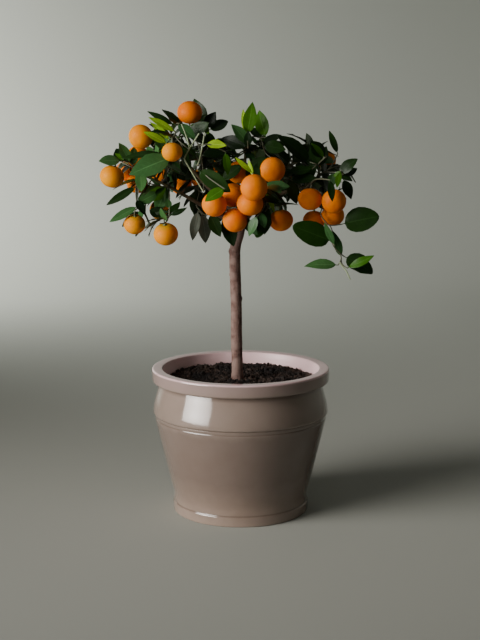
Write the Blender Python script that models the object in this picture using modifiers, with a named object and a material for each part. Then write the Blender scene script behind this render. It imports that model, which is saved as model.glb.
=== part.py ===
"""A mandarin orange tree, grown as a small standard with fruit, in a glazed pot.

The frame is the pot's: +Z is up, the origin is the middle of the pot's flat underside, and the
tree is seen from -Y. Lengths are in millimetres up to the point where a mesh is made from them.
"""

import math
import random

import bmesh
import bpy
from mathutils import Matrix, Vector
from mathutils.kdtree import KDTree

MM = 0.001
GAP = 0.3
UP = Vector((0, 0, 1))

# The pot: a turned, glazed bowl with a thick rim, a belly below the neck and a narrower foot.
POT_HEIGHT = 217.0
RIM_RADIUS = 132.5
RIM_DEPTH = 18.6
MOUTH_RADIUS = 117.0
NECK_RADIUS = 121.2
BELLY_RADIUS = 131.0
BELLY_HEIGHT = 152.0
# The straight body between the waist and the ridge, as (radius, height).
BODY_LOW = (107.5, 53.0)
BODY_HIGH = (116.8, 91.0)
WAIST_RADIUS = 100.6
WAIST_HEIGHT = 26.0
FOOT_RADIUS = 102.0
WALL = 11.0
FLOOR = 14.0
POT_STEPS = 40
SOIL_STEPS = 24

# The compost that fills the pot, level round the trunk and a little higher at the wall.
SOIL_LEVEL = 198.0
SOIL_RADIUS = 108.0
SOIL_RISE = 2.5
SOIL_FLAT_RADIUS = 60.0
SOIL_EDGE = 14.0
SOIL_CHAMFER = 0.5

# The trunk: its foot on the compost, its two bends and its fork, with the radius at each.
TRUNK_LINE = (
    (-5.0, 0.0, SOIL_LEVEL + GAP, 8.5),
    (-5.2, 0.0, 225.0, 8.3),
    (-6.2, 1.0, 262.0, 8.4),
    (-6.4, 0.5, 300.0, 8.2),
    (-7.4, 0.0, 340.0, 8.2),
    (-8.6, 0.0, 378.0, 8.3),
    (-7.6, 0.5, 398.0, 8.0),
    (-2.8, 1.0, 414.0, 7.4),
    (1.0, 1.5, 430.0, 6.9),
    (3.8, 2.0, 447.0, 6.0),
)
ROOT_FLARE = 2.2
FLARE_HEIGHT = 9.0
# Where side shoots were pruned off: height, compass angle and radius of the knob.
TRUNK_KNOBS = ((318.0, 5.0, 2.8), (356.0, 160.0, 2.8), (392.0, 200.0, 3.8))
KNOB_SUNK = 0.55

# Each bough: where it leaves the trunk, where it enters its foliage, how far it sags
# between the two, and its radius at either end.
BOUGHS = {
    "left_low": ((0.2, 1.4, 426.0), (-92.0, -14.0, 480.0), 0.0, 4.2, 2.4),
    "left_high": ((2.8, 1.8, 440.0), (-80.0, -17.0, 524.0), 6.0, 3.8, 2.1),
    "top": ((3.7, 2.0, 446.0), (6.0, 8.0, 512.0), 1.0, 4.4, 2.5),
    "front": ((1.4, 0.5, 431.0), (15.0, -36.0, 470.0), -3.0, 3.6, 2.2),
    "right": ((1.9, 1.6, 433.0), (80.0, -13.0, 482.0), -10.0, 4.0, 2.5),
    "back_left": ((1.2, 1.6, 433.0), (-50.0, 56.0, 484.0), -6.0, 3.9, 2.3),
    "back_right": ((2.0, 1.6, 435.0), (46.0, 60.0, 488.0), -8.0, 3.9, 2.3),
}

# Each mass of foliage: where its stem divides; its lobes as (centre, radii, further shoots that the
# rule spreads there); its fruit as (x, y, z, diameter, stalk); its sprigs as (x, y, z) of the tip
# and the leaves there, each as (heading, length, width, tint), the heading in degrees as the tree
# is seen from the front, 0 up and 90 to the right; how many fruit hang on the further shoots; and
# the seed of its draws.
MASSES = {
    "left_low": {
        "hub": (-132, -24, 500),
        "lobes": (((-140, -14, 506), (66, 80, 50), 4), ((-122, -50, 440), (60, 60, 36), 1)),
        "fruit": (
            (-183, -50, 503, 34, "up"),
            (-151, -60, 436, 30, "front"),
            (-106, -70, 423, 34, "front"),
            (-150, 2, 529, 32, "back"),
            (-170, 24, 507, 30, "up"),
            (-152, 10, 490, 31, "up"),
            (-117, -8, 453, 32, "up"),
        ),
        "sprigs": (
            (-171, -46, 525, ((274, 33, 19, "mid"), (344, 27, 6, "fresh"), (306, 24, 8, "fresh"))),
            (-141, -62, 514, ((178, 32, 17, "mid"),)),
            (-148, -58, 489, ((240, 50, 12, "dark"),)),
            (-146, -62, 461, ((244, 46, 13, "mid"), (64, 35, 17, "mid"), (147, 26, 13, "dark"))),
            (-104, -40, 488, ((240, 38, 20, "fresh"), (207, 40, 23, "mid"))),
            (-101, -70, 449, ((68, 28, 8, "dark"), (266, 22, 8, "dark"), (350, 15, 10, "mid"))),
            (-158, -36, 522, ((334, 34, 15, "mid"), (4, 28, 14, "mid"))),
        ),
        "hung": 0,
        "seed": 11,
    },
    "left_high": {
        "hub": (-92, -26, 552),
        "lobes": (((-92, -28, 554), (74, 80, 50), 4),),
        "fruit": (
            (-73, -22, 593, 35, "down"),
            (-142, -42, 559, 34, "back"),
            (-95, -92, 539, 28, "up"),
        ),
        "sprigs": (
            (-92, -62, 566, ((302, 43, 10, "young"),)),
            (-100, -68, 554, ((318, 41, 10, "young"),)),
            (-103, -72, 550, ((300, 37, 11, "young"),)),
            (-94, -50, 575, ((300, 43, 10, "dark"),)),
            (-85, -40, 578, ((310, 29, 5, "dark"),)),
            (-95, -76, 531, ((251, 66, 33, "mid"),)),
            (-51, 8, 570, ((334, 51, 26, "dark"),)),
            (-50, -12, 570, ((30, 29, 17, "dark"), (290, 20, 10, "fresh"))),
            (-45, -14, 568, ((64, 32, 17, "dark"),)),
            (-49, -56, 549, ((88, 32, 15, "young"),)),
            (-56, -50, 534, ((86, 40, 17, "dark"),)),
            (-110, -64, 535, ((272, 56, 12, "dark"), (338, 36, 15, "dark"))),
            (-21, -60, 538, ((172, 34, 12, "fresh"),)),
            (-60, -90, 514, ((122, 56, 24, "dark"), (134, 46, 14, "mid"))),
            (-22, -109, 489, ((241, 33, 19, "fresh"),)),
            (-78, -34, 560, ((60, 42, 19, "dark"), (200, 38, 18, "dark"))),
        ),
        "hung": 0,
        "seed": 23,
    },
    "top": {
        "hub": (8, 2, 548),
        "lobes": (((6, 0, 540), (80, 82, 46), 8),),
        "fruit": (),
        "sprigs": (
            (9, -20, 561, ((10, 48, 20, "fresh"), (349, 43, 9, "young"))),
            (37, -15, 557, ((342, 44, 21, "fresh"), (306, 26, 13, "dark"))),
            (10, -35, 544, ((289, 42, 20, "dark"), (327, 36, 19, "mid"), (253, 34, 18, "dark"))),
            (32, -25, 546, ((98, 34, 20, "dark"), (67, 32, 13, "dark"))),
        ),
        "hung": 0,
        "seed": 37,
    },
    "front": {
        "hub": (22, -50, 492),
        "lobes": (((4, -76, 478), (88, 74, 62), 4),),
        "fruit": (
            (45, -60, 513, 35, "back"),
            (18, -128, 492, 36, "back"),
            (13, -96, 468, 36, "up"),
            (-11, -58, 477, 34, "back"),
            (-37, -84, 466, 34, "back"),
            (-8, -74, 443, 34, "back"),
            (-3, -30, 508, 32, "back"),
            (58, -40, 440, 34, "up"),
        ),
        "sprigs": (
            (2, -46, 520, ((235, 38, 18, "dark"), (140, 36, 18, "dark"), (60, 38, 18, "dark"))),
            (-2, -40, 480, ()),
            (-24, -36, 470, ()),
            (-61, -42, 454, ((195, 43, 15, "pale"), (169, 49, 20, "pale"))),
            (-45, -41, 449, ((154, 37, 18, "dark"),)),
            (-21, -30, 449, ((168, 49, 23, "dark"),)),
            (38, -45, 462, ((198, 50, 24, "wide"),)),
            (16, -104, 511, ((313, 33, 7, "young"), (337, 29, 6, "young"))),
            (36, -58, 481, ((150, 31, 8, "young"), (110, 34, 15, "dark"))),
        ),
        "hung": 0,
        "seed": 41,
    },
    "right": {
        "hub": (112, -12, 500),
        "lobes": (((102, -12, 496), (74, 84, 56), 2), ((146, -52, 406), (84, 66, 72), 0)),
        "fruit": (
            (99, -50, 471, 34, "up"),
            (132, -64, 469, 34, "back"),
            (133, -30, 446, 33, "up"),
            (107, -12, 437, 32, "up"),
        ),
        "sprigs": (
            (99, -35, 523, ((315, 62, 25, "dark"),)),
            (111, -34, 519, ((342, 35, 16, "dark"), (23, 34, 16, "dark"))),
            (117, -62, 531, ((323, 27, 9, "fresh"),)),
            (120, -48, 530, ((318, 34, 20, "dark"),)),
            (141, -58, 512, ((192, 27, 9, "fresh"), (238, 15, 7, "fresh"))),
            (140, -20, 535, ((338, 37, 10, "dark"),)),
            (143, -30, 506, ((41, 33, 18, "dark"), (112, 26, 12, "dark"), (197, 27, 14, "mid"))),
            (148, -26, 498, ((156, 32, 16, "dark"), (60, 30, 14, "dark"))),
            (125, -84, 500, ((173, 31, 11, "dark"),)),
            (102, -40, 513, ((266, 38, 13, "dark"), (327, 34, 15, "dark"), (225, 40, 18, "dark"))),
            (68, -35, 500, ((159, 43, 18, "dark"), (80, 40, 19, "dark"))),
            (118, -26, 477, ()),
            (116, -45, 456, ()),
            (123, -56, 437, ()),
            (145, -56, 436, ((74, 54, 38, "wide"),)),
            (130, -60, 411, ((294, 62, 35, "wide"),)),
            (134, -66, 407, ((332, 37, 10, "mid"),)),
            (144, -58, 388, ((344, 42, 14, "mid"),)),
            (149, -56, 389, ((113, 47, 32, "wide"),)),
            (139, -58, 377, ((277, 50, 18, "mid"),)),
            (152, -74, 375, ((61, 42, 13, "fresh"),)),
        ),
        "hung": 0,
        "seed": 56,
    },
    "back_left": {
        "hub": (-88, 94, 512),
        "lobes": (
            ((-88, 92, 514), (92, 80, 56), 4),
            ((-36, 100, 512), (60, 66, 50), 2),
            ((-44, 62, 470), (66, 56, 46), 2),
        ),
        "fruit": (
            (-62, 158, 490, 34, "up"),
            (-94, 148, 480, 33, "up"),
            (-30, 160, 512, 32, "up"),
        ),
        "sprigs": (),
        "hung": 5,
        "seed": 67,
    },
    "back_right": {
        "hub": (80, 96, 514),
        "lobes": (
            ((84, 94, 512), (92, 80, 56), 4),
            ((36, 102, 510), (60, 66, 50), 2),
            ((48, 62, 472), (66, 56, 46), 2),
        ),
        "fruit": (
            (58, 158, 498, 35, "up"),
            (88, 150, 484, 33, "up"),
            (132, 134, 518, 34, "up"),
        ),
        "sprigs": (),
        "hung": 5,
        "seed": 71,
    },
}

# Long bare shoots that show, each a row of points, of which the rule reaches the first.
WANDS = {
    "left_high": (
        ((-52, -72, 483), (-79, -78, 529), (-58, -80, 564)),
        ((-73, -80, 543), (-82, -80, 577)),
        ((-61, -80, 520), (-50, -78, 566)),
    ),
    "right": (((142, -60, 382), (152, -62, 368), (157, -62, 357)),),
}

# How a shoot grows: its radii, how it leaves its parent, and how its leaves are set round it.
SHOOT_BASE_RADIUS = 1.9
SHOOT_TIP_RADIUS = 1.2
SHOOT_STEPS = 3
SHOOT_FOLLOWS_PARENT = 0.35
SHOOT_ORIGINS = 6
SHOOT_TRIES = 6
SHOOT_REACH = (0.62, 0.86)
STRAY = (0.1, 0.5)
STALK_LENGTH = 7.0
LEAF_TURN = math.radians(137.5)
LEAF_STEP = 7.5
LEAF_OPENING = (34.0, 68.0)
LEAF_TRIES = 7
LEAVES_ON_A_SHOOT = (6, 7)
LEAVES_ON_A_STALK = 2
SPRIG_STEP = 5.0
SPRIG_LEANS = (-0.3, 0.25, -0.05, 0.5, -0.5)
ROOT_ROOM = 11.0
NEAREST_ORIGIN = 6.0
TURN_COST = 0.35
RUN_COST = 0.3
STALK_TO_HUB = 0.35
STALK_SUNK = 0.42
HUNG_FRUIT = (30.0, 35.0)
# The rule hangs fruit only behind this, where the photo shows nothing.
HUNG_BEHIND = 95.0
# The rule's leaves: their lengths and tints, how a leaf opens from its shoot and which way it
# faces, and how it is turned on and shortened when its place is taken.
LEAF_LENGTHS = (42.0, 56.0)
STALK_LEAF_LENGTH = 46.0
SHOOT_TINTS = ("dark", "dark", "dark", "mid", "fresh")
LEAF_SIZES = (0.86, 1.1)
OPENING_AT_BASE = 1.15
OPENING_LOST = 0.5
LEAF_LIFT = 0.08
FACE_UP = 0.55
FACE_OUT = 0.75
FACE_STRAY = 0.45
CURLS = (0.4, 1.6)
LOWEST_LEAF = 0.15
TURN_ON = 0.9
SHORTEN = 0.97
# An aimed leaf's tries: so many, with the heading moved and the size cut after each five leans.
AIMED_TRIES = 20
AIMED_BEND = 6.0
AIMED_CUT = 0.04
# The room kept round things: a leaf's own half, and what is left to fruit, wood and leaves.
LEAF_ROOM = 1.8
WOOD_ROOM = 1.2
LEAF_TO_FRUIT = 1.2
LEAF_TO_OWN = 1.4
LEAF_TO_OTHER = 2.6
SHOOT_TO_FRUIT = 1.6
SHOOT_TO_OTHER = 3.0
FRUIT_TO_FRUIT = 3.0
FRUIT_TO_OTHER = 1.5

# A leaf: its width over its length, how far its halves fold up and its tip curls down.
LEAF_WIDTH = {"dark": 0.49, "mid": 0.48, "fresh": 0.44}
LEAF_FOLD = 0.16
LEAF_CURL = 0.14
LEAF_THICKNESS = 1.3
LEAF_THICKEST = 0.13
LEAF_SUNK = 0.45
# A fruit of few facets is made a little wider, and all are flattened along their stalks.
FRUIT_WIDE = 1.02
FRUIT_SQUAT = 0.93
HEART = Vector((0, 0, 470))
SEEN_FROM = Vector((-1, -1829, 594))
FRONT_FRUIT_Y = -20.0
SHOWN_SHARE = 0.85
# No leaf of the rule comes this near to a wand, seen from the front.
WAND_ROOM = 3.5
WAND_BEND = 0.08

STALK_WAYS = {
    "up": Vector((0, 0, 1)),
    "front": Vector((0, -0.7, 1)),
    "down": Vector((0.1, 0.35, -1)),
    "back": Vector((0, 1, 0.45)),
}


def bezier(start, via, end, steps):
    """Points on the bend from start to end that leaves towards via and arrives from it."""
    points = []
    for i in range(steps + 1):
        t = i / steps
        points.append(start * (1 - t) ** 2 + via * (2 * t * (1 - t)) + end * t**2)
    return points


def bough_line(name, steps):
    """The points and radii of a bough, from inside the trunk to where its foliage begins."""
    start, end, bow, thick, thin = BOUGHS[name]
    start, end = Vector(start), Vector(end)
    points = bezier(start, (start + end) / 2 - UP * bow * 2, end, steps)
    return points, [thick + (thin - thick) * i / steps for i in range(steps + 1)]


def trunk_line(extra=0.0):
    """The trunk's points and radii, with the flare at its root."""
    points = [Vector(row[:3]) for row in TRUNK_LINE]
    radii = [row[3] + extra for row in TRUNK_LINE]
    foot = points[0]
    flare = [foot + UP * FLARE_HEIGHT * share for share in (0.0, 0.35, 1.0)]
    widths = [radii[0] + ROOT_FLARE * share for share in (1.0, 0.45, 0.08)]
    return flare + points[1:], widths + radii[1:]


def marks_of(mass):
    """The points that mark out a mass's space: its lobes, its fruit and its sprigs' leaves."""
    facts = MASSES[mass]
    yield Vector(facts["hub"])
    for centre, _, _ in facts["lobes"]:
        yield Vector(centre)
    for row in facts["fruit"]:
        yield Vector(row[:3])
    for x, y, z, aimed in facts["sprigs"]:
        for heading, length, _, _ in aimed or ((0, 0, 0, ""),):
            turn = math.radians(heading)
            for share in (0.0, 0.5, 1.0):
                far = length * share
                yield Vector((x + far * math.sin(turn), y, z + far * math.cos(turn)))
    for wand in WANDS.get(mass, ()):
        yield from (Vector(point) for point in wand)


class Crown:
    """Grows the foliage and remembers what room is taken, so that nothing grows through it."""

    CELL = 14.0

    def __init__(self):
        self.taken = {}
        self.fruit = []
        self.shown = []
        marks = [(name, mark) for name in MASSES for mark in marks_of(name)]
        self.owners = [name for name, _ in marks]
        self.marks = KDTree(len(marks))
        for i, (_, mark) in enumerate(marks):
            self.marks.insert(mark, i)
        self.marks.balance()
        for name in BOUGHS:
            points, radii = bough_line(name, 30)
            for point, radius in zip(points, radii):
                self.take(point, radius + WOOD_ROOM, "wood", "bough_" + name)
        points, radii = trunk_line()
        for a, b, radius in zip(points, points[1:], radii):
            for i in range(8):
                self.take(a.lerp(b, i / 8), radius + WOOD_ROOM, "wood", "trunk")

    def cell(self, point):
        return tuple(math.floor(x / self.CELL) for x in point)

    def take(self, point, radius, kind, owner):
        self.taken.setdefault(self.cell(point), []).append((point, radius, kind, owner))

    def near(self, point):
        x, y, z = self.cell(point)
        for i in (x - 1, x, x + 1):
            for j in (y - 1, y, y + 1):
                for k in (z - 1, z, z + 1):
                    yield from self.taken.get((i, j, k), ())

    def home(self, point):
        """The mass that the point's space belongs to: the one with the nearest mark."""
        return self.owners[self.marks.find(point)[1]]

    def inside(self, mass, point):
        """Whether the point lies in one of the mass's lobes and in no other mass's space."""
        for centre, radii, _ in MASSES[mass]["lobes"]:
            away = point - Vector(centre)
            if sum((a / r) ** 2 for a, r in zip(away, radii)) < 1:
                return self.home(point) == mass
        return False

    def clear_of_fruit(self, point, margin, but=None):
        for i, (centre, radius) in enumerate(self.fruit):
            if i != but and (point - centre).length < radius + margin:
                return False
        return True

    def clear_for_leaf(self, mass, root, points, aimed=False):
        """Whether the leaf's sample points keep to the mass's space and off all that is there."""
        for point in points:
            if not (self.home(point) == mass if aimed else self.inside(mass, point)):
                return False
            if not self.clear_of_fruit(point, LEAF_TO_FRUIT):
                return False
            for other, radius, _, owner in self.near(point):
                own = owner == mass
                if own and (other - root).length < ROOT_ROOM:
                    continue
                if (point - other).length < radius + (LEAF_TO_OWN if own else LEAF_TO_OTHER):
                    return False
        return True

    def add_fruit(self, centre, radius):
        """Gives a fruit its room; one near the front is among the things that show."""
        self.fruit.append((centre, radius))
        if centre.y <= FRONT_FRUIT_Y:
            self.shown.append((centre, radius * SHOWN_SHARE))

    def hides_shown(self, point):
        """Whether the point stands before a thing that shows, seen from the front."""
        away = point - SEEN_FROM
        for centre, radius in self.shown:
            sight = centre - SEEN_FROM
            if away.length < sight.length and away.cross(sight).length < radius * away.length:
                return True
        return False

    def keep_leaf(self, mass, leaf, aimed=False):
        """Takes the leaf's room if it is free; only an aimed leaf may hide a thing that shows."""
        samples = leaf_samples(leaf)
        if not self.clear_for_leaf(mass, leaf["root"], samples, aimed):
            return False
        if not aimed and any(self.hides_shown(point) for point in samples):
            return False
        for point in samples:
            self.take(point, LEAF_ROOM, "leaf", mass)
        return True

    def clear_for_shoot(self, mass, points, but=None):
        """Whether a shoot's points keep to the mass's space and off wood, fruit and leaves."""
        for point in points:
            if self.home(point) != mass or not self.clear_of_fruit(point, SHOOT_TO_FRUIT, but):
                return False
            for other, radius, kind, owner in self.near(point):
                if owner == mass and kind != "leaf":
                    continue
                if (point - other).length < radius + SHOOT_TO_OTHER:
                    return False
        return True


def leaf_point(leaf, along, across):
    """The point of a leaf at a share of its length and of its half width there."""
    length = leaf["length"]
    half = leaf["width"] / 2 * math.sin(math.pi * along**0.85) ** 0.8 if 0 < along < 1 else 0.0
    side = across * half
    lift = LEAF_FOLD * abs(side) - leaf["curl"] * length * along**2
    return leaf["root"] + leaf["way"] * (along * length) + leaf["side"] * side + leaf["face"] * lift


def leaf_samples(leaf):
    """Points spread over a leaf, for keeping it clear of what is there."""
    rows = (0.2, 0.34, 0.48, 0.62, 0.76, 0.9)
    across = (-0.95, -0.45, 0.0, 0.45, 0.95)
    return [leaf_point(leaf, a, c) for a in rows for c in across] + [leaf_point(leaf, 1, 0)]


def point_on(shoot, at):
    """The point at a share of a shoot's length, and the shoot's direction there."""
    points = shoot["points"]
    steps = [(b - a).length for a, b in zip(points, points[1:])]
    left = at * sum(steps)
    for a, b, step in zip(points, points[1:], steps):
        if left <= step:
            break
        left -= step
    return a.lerp(b, min(1.0, left / step)), (b - a).normalized()


def length_of(shoot):
    return sum((b - a).length for a, b in zip(shoot["points"], shoot["points"][1:]))


def smooth_points(points, steps):
    """Points spread along a row of points, so many to each step of it."""
    return [a.lerp(b, i / steps) for a, b in zip(points, points[1:]) for i in range(1, steps + 1)]


def leaf_on(rng, shoot, at, turn, length, tint):
    """A leaf set on a shoot by the rule, its face turned up and away from the crown's middle."""
    root, along = point_on(shoot, at)
    first = along.orthogonal().normalized()
    second = along.cross(first)
    radial = first * math.cos(turn) + second * math.sin(turn)
    opening = math.radians(rng.uniform(*LEAF_OPENING)) * (OPENING_AT_BASE - OPENING_LOST * at)
    way = along * math.cos(opening) + radial * math.sin(opening) + UP * LEAF_LIFT
    way.normalize()
    face = UP * FACE_UP + (root - HEART).normalized() * FACE_OUT
    face += Vector([rng.uniform(-FACE_STRAY, FACE_STRAY) for _ in range(3)])
    size = length * rng.uniform(*LEAF_SIZES)
    return make_leaf(rng, root, way, face, size, size * LEAF_WIDTH[tint], tint)


def aimed_leaf(rng, shoot, at, heading, length, width, tint, lean):
    """A leaf whose heading is given as seen from the front, its face turned to be seen."""
    root, _ = point_on(shoot, at)
    turn = math.radians(heading)
    way = Vector((math.sin(turn), lean, math.cos(turn))).normalized()
    face = Vector((rng.uniform(-0.2, 0.2), -0.85, rng.uniform(0.2, 0.6)))
    return make_leaf(rng, root, way, face, length, width, tint)


def make_leaf(rng, root, way, face, length, width, tint):
    """The facts of a leaf from its root, its heading and roughly the way it faces."""
    face = (face - way * face.dot(way)).normalized()
    return {
        "root": root - way * LEAF_SUNK,
        "way": way,
        "side": way.cross(face),
        "face": face,
        "length": length,
        "width": width,
        "curl": LEAF_CURL * rng.uniform(*CURLS),
        "tint": tint,
    }


def set_leaves(crown, rng, mass, shoot):
    """Sets leaves round a shoot in a spiral, from its tip back, and skips one with no room."""
    count, length, tint = shoot["bears"]
    leaves = []
    turn = rng.uniform(0, 2 * math.pi)
    reach = length_of(shoot)
    for i in range(count):
        at = 1 - (2 + i * LEAF_STEP + shoot["stalk"]) / reach
        if at < LOWEST_LEAF:
            break
        turn += LEAF_TURN
        for _ in range(LEAF_TRIES):
            leaf = leaf_on(rng, shoot, at, turn, length, tint)
            if crown.keep_leaf(mass, leaf):
                leaves.append(leaf)
                break
            turn += TURN_ON
            length *= SHORTEN
    return leaves


def set_aimed_leaves(crown, rng, mass, shoot, aimed):
    """Sets a sprig's own leaves, turned or shortened a little where another thing is in the way."""
    leaves = []
    reach = length_of(shoot)
    for i, (heading, length, width, tint) in enumerate(aimed):
        at = max(0.2, 1 - (0.5 + i * SPRIG_STEP) / reach)
        for attempt in range(AIMED_TRIES):
            lean = SPRIG_LEANS[(i + attempt) % 5]
            bend = (attempt // 5) * (AIMED_BEND if attempt % 2 else -AIMED_BEND)
            size = 1 - AIMED_CUT * (attempt // 5)
            leaf = aimed_leaf(rng, shoot, at, heading + bend, length * size, width * size, tint, lean)
            if crown.keep_leaf(mass, leaf, aimed=True):
                leaves.append(leaf)
                break
    return leaves


def attach(skeleton, tip):
    """The points of the growing skeleton from which a shoot reaches the tip best."""
    costs = []
    for i, node in enumerate(skeleton):
        way = tip - node["at"]
        if way.length > NEAREST_ORIGIN:
            turn = 1 - way.normalized().dot(node["way"])
            costs.append((way.length * (1 + TURN_COST * turn) + RUN_COST * node["run"], i))
    return [skeleton[i] for _, i in sorted(costs)[:SHOOT_ORIGINS]]


def free_way(crown, rng, mass, skeleton, tip, but, follow):
    """A bend from the skeleton to the tip that goes round whatever is there, or None."""
    for node in attach(skeleton, tip):
        far = (tip - node["at"]).length
        for attempt in range(SHOOT_TRIES):
            stray = far * (STRAY[0] + STRAY[1] * attempt / SHOOT_TRIES)
            via = node["at"] + node["way"] * (far * follow)
            via += Vector([rng.uniform(-stray, stray) for _ in range(3)])
            points = bezier(node["at"], via, tip, SHOOT_STEPS)
            fine = smooth_points(points, 4)
            if crown.clear_for_shoot(mass, fine[2:], but):
                return node, points
    return None


def grow_shoot(crown, rng, mass, skeleton, tip, finish=(), but=None, follow=SHOOT_FOLLOWS_PARENT):
    """A shoot from the skeleton to the tip, and on through the finish points, or None."""
    found = free_way(crown, rng, mass, skeleton, tip, but, follow)
    if found is None:
        return None
    node, points = found
    points += list(finish)
    base = min(SHOOT_BASE_RADIUS, node["radius"] * 0.92)
    last = len(points) - 1
    radii = [base + (SHOOT_TIP_RADIUS - base) * i / last for i in range(last + 1)]
    run = node["run"]
    for i in range(1, SHOOT_STEPS + 1):
        step = points[i] - points[i - 1]
        run += step.length
        crown.take(points[i], radii[i], "twig", mass)
        crown.take(points[i - 1].lerp(points[i], 0.5), radii[i], "twig", mass)
        place = {"at": points[i], "way": step.normalized(), "run": run, "radius": radii[i]}
        skeleton.append(place)
    stalk = STALK_LENGTH if finish else 0.0
    bears = (LEAVES_ON_A_STALK, STALK_LEAF_LENGTH, "dark") if finish else (0, 0, "dark")
    return {"points": points, "radii": radii, "stalk": stalk, "aimed": (), "bears": bears}


def spread_tips(mass, rng):
    """Tips for the further shoots, spread over each of the mass's lobes by the golden angle."""
    tips = []
    for centre, radii, count in MASSES[mass]["lobes"]:
        for i in range(count):
            height = 1 - 2 * (i + 0.5) / count
            ring = math.sqrt(1 - height**2)
            turn = i * LEAF_TURN + rng.uniform(-0.2, 0.2)
            way = (ring * math.cos(turn), ring * math.sin(turn), height)
            reach = rng.uniform(*SHOOT_REACH)
            tips.append(Vector([c + r * w * reach for c, r, w in zip(centre, radii, way)]))
    return tips


def start_skeleton(mass):
    """The mass's stem: it goes on from its bough's tip to the middle of its first lobe."""
    points, radii = bough_line(mass, 12)
    way = (points[-1] - points[-2]).normalized()
    start = points[-1] + way * GAP
    centre = Vector(MASSES[mass]["hub"])
    far = (centre - start).length
    line = bezier(start, start + way * far * 0.5, centre, 6)
    widths = [radii[-1] + (SHOOT_BASE_RADIUS - radii[-1]) * i / 6 for i in range(7)]
    skeleton, run = [], 0.0
    for i in range(1, 7):
        step = line[i] - line[i - 1]
        run += step.length
        place = {"at": line[i], "way": step.normalized(), "run": run, "radius": widths[i]}
        skeleton.append(place)
    return {"points": line, "radii": widths}, skeleton


def claim_fruit(crown):
    """Gives every placed fruit its room, before anything grows."""
    for name, mass in MASSES.items():
        for x, y, z, across, _ in mass["fruit"]:
            crown.add_fruit(Vector((x, y, z)), across / 2)


def grow_own(crown, rng, mass, placed):
    """A mass's stem, and the shoots that bear its own fruit and sprigs, nearest first."""
    stem, skeleton = start_skeleton(mass)
    grown = {"stem": stem, "skeleton": skeleton, "shoots": [], "leaves": [], "fruit": []}
    hub = skeleton[-1]["at"]
    jobs = []
    for i, (x, y, z, across, stalk) in enumerate(MASSES[mass]["fruit"]):
        centre = Vector((x, y, z))
        way = (STALK_WAYS[stalk] + (hub - centre).normalized() * STALK_TO_HUB).normalized()
        tip = centre + way * (across / 2 + STALK_LENGTH)
        jobs.append((tip, (), (centre, across, way, placed + i)))
    for x, y, z, aimed in MASSES[mass]["sprigs"]:
        jobs.append((Vector((x, y, z)), aimed, None))
    jobs.sort(key=lambda job: (job[0] - hub).length)
    for tip, aimed, fruit in jobs:
        finish, but = [], None
        if fruit:
            centre, across, way, but = fruit
            finish = [centre + way * across * STALK_SUNK]
        shoot = grow_shoot(crown, rng, mass, skeleton, tip, finish, but)
        if shoot is None:
            print(mass, "has no way to", tuple(round(x) for x in tip))
            continue
        shoot["aimed"] = aimed
        grown["shoots"].append(shoot)
        if fruit:
            grown["fruit"].append({"centre": centre, "across": across, "way": way})
    for wand in WANDS.get(mass, ()):
        origins = skeleton
        for point in wand:
            shoot = grow_shoot(crown, rng, mass, origins, Vector(point), follow=WAND_BEND)
            if shoot is None:
                print(mass, "has no way along a wand to", point)
                break
            grown["shoots"].append(shoot)
            origins = origins[-1:]
            if point is not wand[0]:
                crown.shown += [(spot, WAND_ROOM) for spot in smooth_points(shoot["points"], 4)]
    return grown


def grow_further(crown, rng, mass, grown):
    """The further shoots that the rule spreads over a mass, and the fruit hung on some."""
    hung = 0
    for tip in spread_tips(mass, rng):
        if crown.home(tip) != mass or crown.hides_shown(tip):
            continue
        shoot = grow_shoot(crown, rng, mass, grown["skeleton"], tip)
        if shoot is None:
            continue
        across = rng.uniform(*HUNG_FRUIT)
        centre = tip - UP * (across / 2 + STALK_LENGTH)
        wanted = hung < MASSES[mass]["hung"] and centre.y > HUNG_BEHIND
        if wanted and fruit_fits(crown, mass, centre, across / 2):
            shoot["points"].append(centre + UP * across * STALK_SUNK)
            shoot["radii"].append(SHOOT_TIP_RADIUS)
            shoot["stalk"] = STALK_LENGTH
            crown.add_fruit(centre, across / 2)
            grown["fruit"].append({"centre": centre, "across": across, "way": UP.copy()})
            hung += 1
        tint = rng.choice(SHOOT_TINTS)
        shoot["bears"] = (rng.randint(*LEAVES_ON_A_SHOOT), rng.uniform(*LEAF_LENGTHS), tint)
        grown["shoots"].append(shoot)


def fruit_fits(crown, mass, centre, radius):
    """Whether a fruit hung by the rule is clear of the others, the wood and the leaves."""
    if not crown.clear_of_fruit(centre, radius + FRUIT_TO_FRUIT):
        return False
    for i in range(3):
        reach = Vector([radius if j == i else 0 for j in range(3)])
        if not crown.inside(mass, centre + reach) or not crown.inside(mass, centre - reach):
            return False
    for spots in crown.taken.values():
        for other, size, _, _ in spots:
            if (centre - other).length < radius + size + FRUIT_TO_OTHER:
                return False
    return True


def grow_crown():
    """All the masses: first their own fruit and sprigs, then the shoots and leaves of the rule."""
    crown = Crown()
    claim_fruit(crown)
    draws = {mass: random.Random(MASSES[mass]["seed"]) for mass in MASSES}
    grown, placed = {}, 0
    for mass in MASSES:
        grown[mass] = grow_own(crown, draws[mass], mass, placed)
        placed += len(MASSES[mass]["fruit"])
    for mass in MASSES:
        for shoot in grown[mass]["shoots"]:
            leaves = set_aimed_leaves(crown, draws[mass], mass, shoot, shoot["aimed"])
            if len(leaves) < len(shoot["aimed"]):
                print(mass, "lost", len(shoot["aimed"]) - len(leaves), tuple(shoot["points"][-1]))
            grown[mass]["leaves"] += leaves
    for mass in MASSES:
        grow_further(crown, draws[mass], mass, grown[mass])
    for mass in MASSES:
        for shoot in grown[mass]["shoots"]:
            grown[mass]["leaves"] += set_leaves(crown, draws[mass], mass, shoot)
    return grown


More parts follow.
